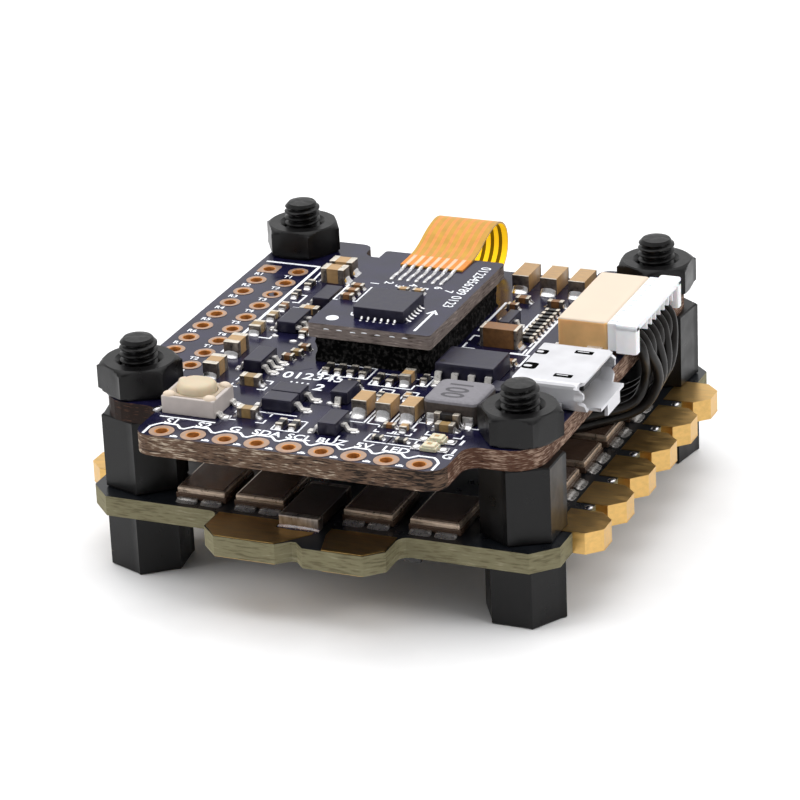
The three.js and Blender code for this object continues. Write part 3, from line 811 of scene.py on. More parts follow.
def esc_face(normal, centre):
    if abs(normal.z) > 0.5:
        return "esc_mask"
    return "gold" if abs(centre[0]) > TAB_ROOT else "olive_laminate"


def fc_face(normal, centre):
    if abs(normal.z) > 0.5:
        return "fc_mask"
    # the front tongue's edge takes the brown laminate; the other edges take the red laminate, painted darker
    # as shade
    return "brown_laminate" if centre[1] < TONGUE_ROOT else "red_laminate_painted_shade"


def gyro_face(normal, centre):
    return "fc_mask" if abs(normal.z) > 0.5 else "grey_laminate"


refined("esc_board", esc_face)
refined("fc_board", fc_face)
refined("imu_board", gyro_face)

PAD_PITCH = 2.54
FRONT_PADS = [((k - 4) * PAD_PITCH, -22.3) for k in range(9)]
SIDE_PADS = [(x, 10.06 - PAD_PITCH * k) for k in range(9) for x in (-16.05, -13.5)]
SIDE_PAD_RADIUS = 0.82


def plated_hole(shape, x, y, outer):
    """A copper ring on each side of the board and the plated barrel between them."""
    bore = 0.46
    lip = 0.4 + outer * 0.15
    for low, high in ((FC_TOP - EMBED, FC_TOP + COPPER), (FC_BOTTOM - COPPER, FC_BOTTOM + EMBED)):
        ring = [(lip, low), (outer, low), (outer, high), (lip, high)]
        shape.turned(x, y, ring, "rose_gold", 28)
        slope = [(bore, low), (lip, low), (lip, high - 0.002), (bore, high - 0.02)]
        shape.turned(x, y, slope, "hole_copper", 28)
    barrel = [(0.452, FC_BOTTOM), (0.474, FC_BOTTOM), (0.474, FC_TOP), (0.452, FC_TOP)]
    shape.turned(x, y, barrel, "hole_copper", 28)


def add_plated_holes():
    front = Shape()
    for x, y in FRONT_PADS:
        plated_hole(front, x, y, 0.95)
    front.piece("front_pad_rings")
    side = Shape()
    for x, y in SIDE_PADS:
        plated_hole(side, x, y, SIDE_PAD_RADIUS)
    half = (SIDE_PAD_RADIUS, SIDE_PAD_RADIUS)
    for level in (FC_TOP - 0.005, FC_BOTTOM - COPPER + 0.005):
        side.holed_plate(*SIDE_PADS[0], half, (0.6, 0.6), (level, level + COPPER), "rose_gold")
    side.piece("side_pad_rings")


add_plated_holes()


def add_tracks():
    """Copper under the mask, felt as a low relief, and small filled vias."""
    rng = random.Random(11)
    tracks = Shape()
    for x, y in FRONT_PADS:
        step = rng.choice((-1, 1)) * rng.uniform(0.5, 1.3)
        bend = y + 1.5 + abs(step)
        route = [(x, y + 0.95), (x, y + 1.5), (x + step, bend), (x + step, y + rng.uniform(3.2, 5.0))]
        tracks.line(route, FC_TOP, 0.3, "fc_mask", 0.014)
    for k in range(26):
        x = rng.uniform(-15.5, 15)
        y = rng.uniform(-16.5, 13)
        if min(abs(abs(x) - HOLE_HALF), 9) < 3.6 and min(abs(abs(y) - HOLE_HALF), 9) < 3.6:
            continue
        run = rng.uniform(1.5, 4.5)
        bend = rng.uniform(0.5, 1.6) * rng.choice((-1, 1))
        if rng.random() < 0.5:
            route = [(x, y), (x + run, y), (x + run + abs(bend), y + bend)]
        else:
            route = [(x, y), (x, y - run), (x + bend, y - run - abs(bend))]
        if any(abs(px) > 16.6 or py < -17 or py > 14 for px, py in route):
            continue
        tracks.line(route, FC_TOP, rng.choice((0.16, 0.2, 0.35)), "fc_mask", 0.012)
        via = [(0.11, FC_TOP), (0.27, FC_TOP), (0.24, FC_TOP + 0.02), (0.13, FC_TOP + 0.02)]
        tracks.turned(x, y, via, "fc_mask", 12)
    tracks.piece("fc_tracks")


add_tracks()


# ---- printing on the flight controller ----


def scalloped_line(shape):
    """Printed line that rises over each front pad and dips between pads."""
    points = [(-11.35, -23.0), (-11.38, -21.7), (-11.1, -21.3)]
    for x, _ in FRONT_PADS:
        points += [(x - 0.62, -20.93), (x + 0.62, -20.93)]
        if x < 10:
            points += [(x + 1.13, -21.48), (x + 1.41, -21.48)]
    points += [(11.15, -21.3), (11.4, -21.7), (11.4, -23.0)]
    shape.line(points, FC_TOP, 0.2)


def print_pad_labels(ink):
    """Marks between the front pads, names for the pads, and a plain number on the board."""
    for k in range(8):
        x = (k - 3.5) * PAD_PITCH
        ink.line([(x, -23.05), (x, -22.85)], FC_TOP, 0.6)
        ink.line([(x, -22.9), (x, -22.72)], FC_TOP, 0.28)
    for text, (x, _) in zip(("S1", "S2", "G", "SDA", "SCL", "BUZ", "5V", "LED"), FRONT_PADS):
        ink.words(text, x, -20.45, FC_TOP, 1.2, bold=0.022)
    ink.words("G", 11.6, -20.5, FC_TOP, 1.15, bold=0.02)
    for i, (x, y) in enumerate(SIDE_PADS):
        ink.words(f"{'T' if i % 2 else 'R'}{i // 2 % 6 + 1}", x - 0.35, y - 1.22, FC_TOP, 0.72, bold=0.01)
    ink.words("012345", -3.5, -9.75, FC_TOP, 1.65, turn=4, bold=0.025)
    ink.words("2", -2.3, -11.5, FC_TOP, 1.65, bold=0.03)


# Printed lines, by width.
PRINTED_LINES = {
    0.14: [[(2.7, -20.0), (2.7, -19.3)]],
    0.15: [[(-4.7, -16.95), (-1.7, -16.95)]],
    0.16: [
        [(9.0, -1.15), (10.6, -1.15), (10.6, -3.4)],
        [(-10.75, 0.9), (-10.75, 2.9), (-10.2, 2.9)],
        [(-10.85, -3.6), (-9.9, -3.6), (-9.9, -2.6)],
        *([(-4.75 + 0.45 * k, -11.15), (-4.75 + 0.45 * k, -10.95)] for k in range(4)),
        [(-11.7, 10.9), (-11.6, 8.6), (-11.2, 8.6)],
        [(-11.2, 5.5), (-10.75, 5.5), (-10.75, 3.9), (-11.3, 3.9)],
    ],
    0.18: [[(-11.5, -19.78), (-7.0, -19.78)]],
    0.2: [
        *([(11.72, y - 0.42), (11.72, y + 0.42)] for y in (-17.9, -19.5)),
        [(10.3, -1.0), (10.3, 7.0)],
        [(8.4, 3.0), (8.4, 7.0)],
        [(5.05, 2.5), (5.05, 8.6)],
    ],
    0.26: [[(-17.0, 11.65), (-12.35, 11.65), (-12.3, 11.5), (-12.3, -7.2)]],
}
# Printed rectangles round small parts, as x and y ranges.
PRINTED_FRAMES = [
    ((-2.6, -1.55), (-19.65, -17.7)),
    ((-1.55, -0.5), (-19.65, -17.7)),
    ((1.0, 2.0), (-9.85, -7.6)),
    ((2.0, 3.05), (-9.85, -7.6)),
    ((3.05, 4.45), (-9.85, -7.9)),
    ((4.45, 5.35), (-9.0, -7.1)),
    ((4.75, 6.5), (-19.6, -18.3)),
    ((6.5, 8.5), (-19.6, -18.3)),
    ((-8.45, -6.4), (4.6, 8.9)),
    ((2.35, 3.35), (-12.7, -10.3)),
    ((4.35, 5.3), (-12.7, -10.3)),
    *(((-3.5 + k, -2.5 + k), (-9.0, -6.9)) for k in range(4)),
    *(((1.85 + 1.9 * k, 3.47 + 1.9 * k), (-16.6, -13.2)) for k in range(3)),
]
# Four corner marks each: x range, y range and how far a mark runs.
PRINTED_BRACKETS = [
    ((-8.9, -6.1), (-13.1, -11.4), 0.6),
    ((-6.4, -3.6), (-18.85, -17.0), 0.6),
    ((7.2, 11.95), (-15.35, -10.6), 0.9),
    ((8.6, 11.35), (-17.25, -15.2), 0.6),
    ((4.8, 6.2), (-17.8, -16.6), 0.4),
    ((6.4, 7.6), (-17.8, -16.6), 0.4),
]


def add_printing():
    ink = Shape()
    scalloped_line(ink)
    print_pad_labels(ink)
    for width, routes in PRINTED_LINES.items():
        for route in routes:
            ink.line(route, FC_TOP, width)
    for x, y in PRINTED_FRAMES:
        ink.frame(x, y, FC_TOP)
    for x, y, reach in PRINTED_BRACKETS:
        ink.brackets(x, y, FC_TOP, reach)
    ink.brackets((5.1, 10.0), (-1.0, 1.5), FC_TOP, 1.0, 0.16)
    ink.piece("fc_printing")


add_printing()


# ---- small soldered parts ----


CAP_EDGE = 0.05  # rounding of a two-ended part's plated caps


def chip_part(shape, x, y, z0, height, core, along, end, fillet):
    """A two-ended part: core, plated cap at each end and solder fillet at each foot. `along` is 0 for X."""
    ranges = [list(x), list(y)]
    low, high = ranges[along]
    wide = ranges[1 - along][1] - ranges[1 - along][0]
    inner = [list(r) for r in ranges]
    inner[along] = [low + end * 0.6, high - end * 0.6]
    inner[1 - along] = [inner[1 - along][0] + 0.03, inner[1 - along][1] - 0.03]
    shape.block(*inner, (z0 + 0.02, z0 + height - 0.025), core, CAP_EDGE * 0.6)
    for sign, outer, cap_range in ((-1, low, [low, low + end]), (1, high, [high - end, high])):
        cap = [list(r) for r in ranges]
        cap[along] = cap_range
        # the cap's sides take the darker copy, painted shade, and its top the lighter copy, painted
        # highlight
        shape.block(*cap, (z0, z0 + height), "cap_end", CAP_EDGE, top="plated_cap_painted_lit_top")
        foot = [sum(r) / 2 for r in ranges]
        foot[along] = outer
        heading = [0, 0]
        heading[along] = sign
        shape.fillet(*foot, z0, heading, fillet, min(height * 0.62, fillet * 1.3), wide * 0.92)


def cap_nodes(names, along, core, end, fillet):
    """Detailed copies of the CAD frame's capacitors."""
    for name in names:
        x, y, z = span(name)
        shape = Shape()
        chip_part(shape, x, y, z[0], z[1] - z[0], core, along, end, fillet)
        shape.piece(name + "_detail", stands_for=[name])


cap_nodes([f"capacitor_front_{k}" for k in (1, 2, 3)], 1, "tan_ceramic", 0.13, 0.62)
cap_nodes([f"capacitor_back_{k}" for k in (1, 2, 3)], 1, "tan_ceramic", 0.13, 0.5)
cap_nodes(["capacitor_middle"], 0, "brown_ceramic", 0.28, 0.4)

# Each row is x, y, z height, core finish and the axis the part lies along.
SMALL_PARTS = [
    ((-8.25, -6.7), (-12.75, -11.9), 0.8, "gold_ceramic", 0),
    ((-5.9, -4.4), (-18.4, -17.6), 0.8, "gold_ceramic", 0),
    ((9.0, 10.45), (-16.5, -15.8), 0.62, "gold_ceramic", 0),
    ((8.6, 10.58), (-15.62, -15.15), 1.05, "resistor_black", 0),
    ((-10.8, -8.8), (8.5, 9.75), 1.25, "tan_ceramic", 0),
    ((-10.8, -8.8), (10.25, 11.5), 1.25, "tan_ceramic", 0),
    ((-11.85, -10.6), (-7.8, -5.8), 1.2, "tan_ceramic", 1),
    ((-11.6, -10.4), (-12.1, -10.1), 1.2, "tan_ceramic", 1),
    ((3.25, 4.1), (-9.2, -7.7), 0.8, "tan_ceramic", 1),
    ((4.65, 5.15), (-8.6, -7.55), 0.45, "resistor_black", 1),
    ((-2.4, -1.85), (-19.35, -18.2), 0.4, "resistor_black", 1),
    ((-1.35, -0.8), (-19.35, -18.2), 0.4, "resistor_black", 1),
    ((1.2, 1.75), (-9.5, -8.2), 0.4, "resistor_black", 1),
    ((2.25, 2.8), (-9.5, -8.2), 0.4, "resistor_black", 1),
    ((5.2, 6.1), (-17.05, -16.5), 0.35, "brown_ceramic", 0),
    ((6.55, 7.15), (-17.35, -16.55), 0.45, "tan_ceramic", 1),
    ((5.2, 6.0), (-19.25, -18.7), 0.3, "resistor_black", 0),
    ((7.0, 7.9), (-19.25, -18.7), 0.3, "resistor_black", 0),
    ((5.6, 6.5), (7.25, 7.8), 0.5, "brown_ceramic", 0),
    ((5.75, 6.85), (8.75, 9.45), 0.5, "brown_ceramic", 0),
    ((8.5, 9.8), (8.5, 9.05), 0.6, "brown_ceramic", 0),
    ((-9.75, -8.2), (1.75, 2.45), 0.6, "tan_ceramic", 0),
    ((-7.9, -7.3), (-2.6, -1.5), 0.45, "brown_ceramic", 1),
    ((-6.8, -5.9), (-5.2, -4.6), 0.45, "brown_ceramic", 0),
    ((-6.95, -6.05), (-6.3, -5.7), 0.45, "gold_ceramic", 0),
    ((-7.25, -6.35), (-7.3, -6.7), 0.45, "brown_ceramic", 0),
    ((-8.2, -7.4), (5.3, 5.8), 0.45, "brown_ceramic", 0),
    ((-8.2, -7.4), (6.3, 6.8), 0.45, "brown_ceramic", 0),
    ((-8.2, -7.4), (7.3, 7.8), 0.45, "brown_ceramic", 0),
    ((9.4, 10.3), (-3.5, -2.9), 0.45, "brown_ceramic", 0),
    ((-0.5, 0.5), (-10.6, -10.0), 0.4, "resistor_black", 0),
    ((2.6, 3.1), (-12.4, -11.5), 0.4, "resistor_black", 1),
    ((4.6, 5.1), (-11.9, -11.0), 0.4, "tan_ceramic", 1),
    ((-11.6, -11.0), (6.9, 8.0), 0.45, "resistor_black", 1),
    ((-11.8, -11.25), (4.75, 5.75), 0.4, "resistor_black", 1),
    ((-11.65, -11.05), (2.0, 2.95), 0.45, "brown_ceramic", 1),
    ((-11.7, -11.0), (-0.2, 0.9), 0.5, "gold_ceramic", 1),
    ((-11.85, -10.9), (-3.2, -1.9), 0.75, "gold_ceramic", 1),
]


def add_small_parts():
    parts = Shape()
    for x, y, height, core, along in SMALL_PARTS:
        low, high = (x, y)[along]
        long = high - low
        chip_part(parts, x, y, FC_TOP, height, core, along, end=long * 0.26, fillet=min(0.42, long * 0.28))
    for k in range(4):
        chip_part(parts, (-3.28 + k, -2.72 + k), (-8.7, -7.4), FC_TOP, 0.4, "resistor_black", 1, 0.3, 0.28)
    for k in range(9):
        y = 1.3 + 0.74 * k
        chip_part(parts, (8.75, 9.95), (y, y + 0.42), FC_TOP, 0.4, "resistor_black", 0, 0.3, 0.3)
    for x, y in ((-10.1, -1.9), (-9.9, 0.1), (-9.7, -3.0), (-10.3, -0.9), (-7.9, -3.6), (-0.3, -13.95)):
        parts.dome(x, y, FC_TOP, 0.34, 0.26, 0.14, "solder")
    parts.piece("fc_small_parts")


add_small_parts()


LEAD_THICKNESS = 0.17


def gull_lead(shape, x, y, heading, z0, root_height, out, width):
    """A bent lead that leaves a package at root_height and comes down to a foot on the board."""
    dx, dy = heading
    path = []
    for reach, height in ((0, root_height), (0.22, root_height), (0.40, 0.14), (0.48, 0.08), (1.0, 0.08)):
        path.append((x + dx * out * reach, y + dy * out * reach, z0 + height))
    shape.strip(path, width, LEAD_THICKNESS, "tin", across=(-dy, dx, 0))
    along, beside = out * 0.38, width * 0.8
    reach = (abs(dx) * along + abs(dy) * beside, abs(dy) * along + abs(dx) * beside)
    shape.dome(x + dx * out * 0.82, y + dy * out * 0.82, z0, *reach, 0.15, "solder", 16)


def package(node, leads, edge=0.12, dot=None, split=None):
    """A moulded chip, or two that meet at the y `split`; each lead is x, y, heading, reach and width."""
    x, y, z = span(node)
    shape = Shape()
    for part in ((y[0], split - 0.06), (split + 0.06, y[1])) if split else (y,):
        shape.block(x, part, (z[0] + 0.06, z[1]), "chip_epoxy", edge, 0.06)
    for lx, ly, heading, out, width in leads:
        gull_lead(shape, lx, ly, heading, z[0], (z[1] - z[0]) * 0.5, out, width)
    if dot:
        low, high = z[1] - 0.02, z[1] + 0.004
        profile = [(0, low), (0.22, low), (0.22, high), (0, high)]
        shape.turned(*dot, profile, "resistor_black", 14, looped=False)
    shape.piece(node + "_detail", stands_for=[node])


def side_leads(node, count, heading, out, width, inset=0.4, slide=0.0):
    """Evenly spaced leads along one side of a CAD chip, moved along it by `slide`."""
    x, y, _ = span(node)
    across = 1 if heading[0] else 0
    low, high = (x, y)[across]
    leads = []
    for k in range(count):
        share = 0.5 if count == 1 else k / (count - 1)
        place = low + inset + slide + (high - low - 2 * inset) * share
        if across:
            leads.append((x[1] if heading[0] > 0 else x[0], place, heading, out, width))
        else:
            leads.append((place, y[1] if heading[1] > 0 else y[0], heading, out, width))
    return leads


def add_packages():
    for chip in ("motor_side_chip_back", "motor_side_chip_middle", "motor_side_chip_front"):
        right = side_leads(chip, 3, RIGHT, 1.15, 0.45, 0.56, -0.3)
        left = side_leads(chip, 3, LEFT, 0.7, 0.42)
        package(chip, right + left)
    front = side_leads("regulator_chip", 4, FRONT, 1.05, 0.48, 0.35)
    back = side_leads("regulator_chip", 4, BACK, 0.9, 0.42, 0.35)
    package("regulator_chip", front + back, edge=0.16, dot=(5.95, -7.1))
    right = side_leads("front_logic_chip", 2, RIGHT, 1.15, 0.5, 0.75)
    left = side_leads("front_logic_chip", 2, LEFT, 0.8, 0.5, 0.7)
    package("front_logic_chip", right + left, split=-14.95)


add_packages()

# Each small package: x, y, height and its leads; each lead is x, y, heading and reach.
TRANSISTORS = [
    ((-0.3, 1.05), (-13.9, -11.5), 1.0,
     [(0.35, -13.9, FRONT, 0.55), (-0.1, -11.5, BACK, 0.7), (0.85, -11.5, BACK, 0.7)]),
    ((1.05, 2.5), (-19.5, -16.8), 1.0,
     [(2.5, -18.3, RIGHT, 1.15), (1.05, -19.2, LEFT, 0.8), (1.05, -17.3, LEFT, 0.6)]),
    ((6.6, 7.5), (2.75, 5.4), 0.9,
     [(6.6, 3.3, LEFT, 0.7), (6.6, 4.9, LEFT, 0.7), (7.5, 4.1, RIGHT, 0.7)]),
    ((10.3, 11.4), (-9.4, -7.5), 0.6,
     [(10.3, -8.9, LEFT, 0.5), (10.3, -8.0, LEFT, 0.5), (11.4, -8.45, RIGHT, 0.5)]),
]


def add_transistors():
    shape = Shape()
    for x, y, height, leads in TRANSISTORS:
        shape.block(x, y, (FC_TOP + 0.06, FC_TOP + height), "chip_epoxy", 0.12, 0.06)
        for lx, ly, heading, out in leads:
            gull_lead(shape, lx, ly, heading, FC_TOP, height * 0.5, out, 0.45)
    shape.piece("fc_transistors")


add_transistors()


def add_lights():
    """Two status lights: body, lens, chip and a soldered pad at each end."""
    z = FC_TOP
    lights = Shape()
    for y in (-18.2, -19.65):
        lights.block((9.3, 10.56), (y - 0.5, y + 0.5), (z + 0.05, z + 0.32), "light_white", 0.04)
        lights.block((9.42, 10.44), (y - 0.46, y + 0.46), (z + 0.3, z + 0.5), "light_white", 0.1)
        lights.block((9.75, 10.1), (y - 0.2, y + 0.15), (z + 0.49, z + 0.51), "tan_ceramic", 0.01)
        for x in (8.9, 10.96):
            lights.block((x - 0.4, x + 0.4), (y - 0.42, y + 0.42), (z, z + 0.12), "solder", 0.03)
            lights.dome(x, y, z + 0.08, 0.38, 0.42, 0.2, "solder")
    lights.piece("status_lights")


add_lights()


# ---- inductor ----


def add_inductor():
    x, y, z = span("power_inductor")
    shape = Shape()
    profile = ((0.12, z[0] + 0.05), (0.0, z[0] + 0.3), (0.0, z[1] - 0.3), (0.06, z[1] - 0.12),
               (0.18, z[1] - 0.03), (0.34, z[1]))
    rings = []
    for inset, height in profile:
        rings.append([(px, py, height) for px, py in oblong(x, y, inset, 0.5, steps=6)])
    shape.loft(rings, "ferrite")
    around = len(rings[0])
    # the sides below the rounded top take the darker copy, as painted shade
    shape.finishes[:2 * around] = ["ferrite_painted_shaded_side"] * (2 * around)
    shape.words("100", sum(x) / 2 - 0.3, sum(y) / 2 + 0.02, z[1] - 0.004, 2.55, turn=-90,
                finish_name="ferrite_mark", height=0.008, bold=0.04, narrow=0.76)
    terminal_front = y[0] - 0.14
    for px in (x[0] + 0.75, x[1] - 0.75):
        shape.block((px - 0.4, px + 0.4), (terminal_front, y[0] + 0.2), (z[0], z[0] + 0.75), "tin", 0.04)
        shape.fillet(px, terminal_front, z[0], FRONT, 0.4, 0.4, 0.85)
    shape.piece("power_inductor_detail", stands_for=["power_inductor"])


add_inductor()


# ---- fasteners ----

THREAD_PITCH = 0.5
THREAD_ROOT = 1.16
THREAD_CREST = 1.45
HEX_APOTHEM = 2.75  # half the distance across a hexagon's flats
UNLIMITED = 99.0
# Angles round one sixth of a hex, with its corner at zero and slightly flattened.
SIXTH = (-1.4, 1.4, 7, 14, 22, 30, 38, 46, 53)


def hex_ring(x, y, z, corner_degrees, inset=0.0, circle=None, limit=UNLIMITED):
    """A hex outline cut to the radius `limit`, or a circle with the same number of points."""
    ring = []
    for side in range(6):
        for part in SIXTH:
            radius = (HEX_APOTHEM - inset) / math.cos(math.radians(part - 30))
            radius = min(radius, limit) if circle is None else circle
            angle = math.radians(corner_degrees + 60 * side + part)
            ring.append((x + radius * math.cos(angle), y + radius * math.sin(angle), z))
    return ring


def thread_ring(x, y, z, corner_degrees, taper):
    """A level cut through a screw thread whose crests are cut to the radius `taper`."""
    ring = []
    for side in range(6):
        for part in SIXTH:
            degrees = corner_degrees + 60 * side + part
            phase = (z / THREAD_PITCH - degrees / 360) % 1
            crest = min(1, max(0, (1 - abs(2 * phase - 1)) * 1.5 - 0.2))
            radius = min(THREAD_ROOT + (THREAD_CREST - THREAD_ROOT) * crest, taper)
            angle = math.radians(degrees)
            ring.append((x + radius * math.cos(angle), y + radius * math.sin(angle), z))
    return ring


def thread_rings(x, y, z0, z1, corner_degrees):
    """A stud's thread, with a tapered tip."""
    steps = round((z1 - z0) / (THREAD_PITCH / 8))
    rings = []
    for k in range(steps + 1):
        z = z0 + (z1 - z0) * k / steps
        taper = min(THREAD_CREST, THREAD_CREST - 0.35 + 0.9 * (z1 - z))
        rings.append(thread_ring(x, y, z, corner_degrees, taper))
    return rings


def standoff(node, z_hex, bore_depth, corner_degrees):
    """A hexagon with a bore below and a threaded stud above."""
    x, y, z = span(node)
    x, y = sum(x) / 2, sum(y) / 2
    bottom = z[0]

    def hexagon(height, inset=0.0):
        return hex_ring(x, y, height, corner_degrees, inset)

    def round_cut(height, radius):
        return hex_ring(x, y, height, corner_degrees, circle=radius)

    rings = [
        round_cut(bottom + bore_depth, 1.1),
        round_cut(bottom + bore_depth - 0.3, 1.42),
        round_cut(bottom + 0.3, 1.42),
        round_cut(bottom, 1.7),
        hexagon(bottom, 0.12),
        hexagon(bottom + 0.12),
        hexagon(z_hex - 0.1),
        hexagon(z_hex, 0.1),
        round_cut(z_hex, THREAD_CREST),
    ]
    rings += thread_rings(x, y, z_hex + 0.02, z[1] - 0.12, corner_degrees)
    for radius, drop in ((0.95, 0.10), (0.75, 0.05), (0.5, 0.03), (0.25, 0.05)):
        tip = []
        for px, py, _ in round_cut(0, radius):
            tip.append((px, py, z[1] - drop + 0.05 * noise.noise(Vector((px, py, 0)) * 2.3)))
        rings.append(tip)
    shape = Shape()
    shape.loft(rings, "nylon")
    shape.piece(node + "_detail", stands_for=[node], sharp=24)


def nut(node, corner_degrees):
    """A hexagon with rounded corners above and below, and a bore with a chamfer at each end."""
    x, y, z = span(node)
    x, y = sum(x) / 2, sum(y) / 2
    rings = []
    for height, limit in ((0.0, 2.72), (0.12, 2.95), (0.24, 3.4)):
        rings.append(hex_ring(x, y, z[0] + height, corner_degrees, limit=limit))
    for drop, limit in ((0.36, 3.4), (0.27, 3.05), (0.18, 2.95), (0.09, 2.83), (0.0, 2.68)):
        rings.append(hex_ring(x, y, z[1] - drop, corner_degrees, limit=limit))
    for height, radius in ((z[1], 1.85), (z[1] - 0.32, 1.5), (z[0] + 0.3, 1.5), (z[0], 1.8)):
        rings.append(hex_ring(x, y, height, corner_degrees, circle=radius))
    shape = Shape()
    shape.loft(rings, "nylon", looped=True)
    shape.piece(node + "_detail", stands_for=[node], sharp=24)


# At each corner, how far the lower standoff, the upper standoff and the nut are turned, in degrees.
CORNERS = {
    "front_left": (38.4, 42.1, 28.7),
    "front_right": (0, 30.4, 7.8),
    "back_right": (20, 25, 34.2),
    "back_left": (50, 12, 2),
}
for corner, (lower, upper, top) in CORNERS.items():
    standoff("lower_standoff_" + corner, ESC_BOTTOM, 3.5, lower)
    standoff("upper_standoff_" + corner, FC_BOTTOM, 4.7, upper)
    nut("nut_" + corner, top)


# ---- gyro board ----


FOAM_STEPS = (26, 40, 8)  # faces along x, y and z
FOAM_WAIST = 0.13  # how far the foam's sides draw in at mid height


def add_foam():
    """A block of rough foam with hollow sides, as one closed grid of faces."""
    ranges = span("imu_foam")
    work = bmesh.new()
    grid = {}

    def vertex(*key):
        if key not in grid:
            shares = [key[axis] / FOAM_STEPS[axis] for axis in range(3)]
            px, py, pz = [low + (high - low) * share for (low, high), share in zip(ranges, shares)]
            rough = noise.noise(Vector((px, py, pz)) * 3.1) * 0.10 - 0.04
            inward = FOAM_WAIST * math.sin(math.pi * shares[2]) - rough
            px += ((key[0] == 0) - (key[0] == FOAM_STEPS[0])) * inward
            py += ((key[1] == 0) - (key[1] == FOAM_STEPS[1])) * inward
            grid[key] = work.verts.new(at(px, py, pz))
        return grid[key]

    def side(count_a, count_b, corner):
        for a in range(count_a):
            for b in range(count_b):
                square = ((a, b), (a + 1, b), (a + 1, b + 1), (a, b + 1))
                work.faces.new([vertex(*corner(*place)) for place in square])

    wide, deep, high = FOAM_STEPS
    side(wide, deep, lambda a, b: (a, b, high))
    side(deep, wide, lambda a, b: (b, a, 0))
    side(wide, high, lambda a, b: (a, 0, b))
    side(high, wide, lambda a, b: (b, deep, a))
    side(deep, high, lambda a, b: (wide, a, b))
    side(high, deep, lambda a, b: (0, b, a))
    mesh = bpy.data.meshes.new("imu_foam_detail")
    work.to_mesh(mesh)
    work.free()
    faces = ["foam"] * len(mesh.polygons)
    foam = dressed("imu_foam_detail", mesh, faces, "stack", ["imu_foam"], 40)
    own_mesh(foam)


add_foam()

RIBBON_X = (-2.7, 2.5)
RIBBON_HALF = 0.07  # half the film's thickness
RIBBON_STEPS = 60
NEAR_BOARD_STEPS = 7  # the first steps of the film lie on the gyro board
RIBBON_TRACKS = [-2.25 + 0.69 * k for k in range(7)]
TRACK_HALF = 0.15
# The middle of the film, as y and z, from the gyro board's top round the loop to the upper board.
RIBBON_PATH = [
    (5.9, 17.57), (7.2, 17.57), (8.5, 17.63), (9.8, 17.9), (11.1, 18.35), (12.4, 18.67), (13.6, 18.76),
    (14.7, 18.46), (15.55, 17.7), (15.85, 16.6), (15.6, 15.6), (14.8, 14.8), (13.6, 14.4), (12.3, 14.27),
    (10.6, 14.27),
]


def ribbon_rings(columns):
    """Cuts through the film along its path; `columns` are the x places of its lengthwise edges."""
    points = [Vector((0, y, z)) for y, z in RIBBON_PATH]
    rings = []
    for i in range(RIBBON_STEPS + 1):
        t = i / RIBBON_STEPS
        here = smooth_point(points, t)
        ahead = smooth_point(points, min(1, t + 1e-3)) - smooth_point(points, max(0, t - 1e-3))
        up = Vector((0, -ahead.z, ahead.y)).normalized() * RIBBON_HALF
        ring = [(x, here.y - up.y, here.z - up.z) for x in columns]
        ring += [(x, here.y + up.y, here.z + up.z) for x in reversed(columns)]
        rings.append(ring)
    return rings


def add_ribbon():
    """The film, with its tracks as strips of faces in their own finish."""
    columns = [RIBBON_X[0]]
    for x in RIBBON_TRACKS:
        columns += [x - TRACK_HALF, x + TRACK_HALF]
    columns.append(RIBBON_X[1])
    shape = Shape()
    shape.loft(ribbon_rings(columns), "film")
    around = 2 * len(columns)
    for index in range(len(shape.faces) - 2):
        row, column = divmod(index, around)
        # the inner face and its tracks take the glowing finishes, painted light through the film
        if column < len(columns) - 1:
            shape.finishes[index] = "film_track_inside_painted_glow" if column % 2 else "film_inside_painted_glow"
            continue
        on_track = len(columns) <= column < around - 1 and (around - 2 - column) % 2
        near = "_near_board" if row < NEAR_BOARD_STEPS else ""
        shape.finishes[index] = ("film_track" if on_track else "film") + near
    ribbon = shape.piece("imu_ribbon_detail", body=None, stands_for=["imu_ribbon"],
                         sharp=60)
    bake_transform(ribbon)


add_ribbon()


def add_sensor():
    """The sensor chip with six soldered contacts on each side."""
    x, y, z = span("imu_sensor")
    shape = Shape()
    shape.block(x, y, (z[0] + 0.04, z[1]), "chip_epoxy", 0.06, 0.05)
    cx, cy = sum(x) / 2, sum(y) / 2
    for k in range(6):
        offset = (k - 2.5) * 0.54
        for side, edge_x, edge_y in ((-1, x[0], y[0]), (1, x[1], y[1])):
            shape.fillet(edge_x, cy + offset - 0.15, z[0], (side, 0), 0.42, 0.26, 0.26)
            shape.fillet(cx + offset, edge_y, z[0], (0, side), 0.42, 0.26, 0.26)
    shape.piece("imu_sensor_detail", body="gyro", stands_for=["imu_sensor"])


add_sensor()


def add_gyro_printing():
    z = IMU_TOP
    ink = Shape()
    ink.turned(-3.5, -5.8, [(0, z), (0.5, z), (0.5, z + PRINT), (0, z + PRINT)], "ink", 24, looped=False)
    ink.line([(3.5, -6.5), (3.5, -2.5)], z, 0.2)
    ink.line([(3.08, -3.0), (3.5, -2.35), (3.92, -3.0)], z, 0.2)
    ink.line([(-4.6, -2.2), (-4.95, -2.2), (-4.95, 0.95)], z, THIN_LINE)
    ink.line([(-3.35, -2.2), (-3.05, -2.2), (-3.05, 0.95)], z, THIN_LINE)
    for k in range(7):
        ink.words(f"{k + 1}", -3.2 + 1.03 * k, 1.75 + 0.45 * (k % 2), z, 1.0, turn=-90, bold=0.01)
    ink.words("0123456789 0123", 4.0, 3.0, z, 1.2, turn=-90)
    ink.line([(-2.5, -4.3), (-2.35, -4.85), (-2.0, -4.95)], z, 0.12)
    ink.piece("gyro_printing", body="gyro")


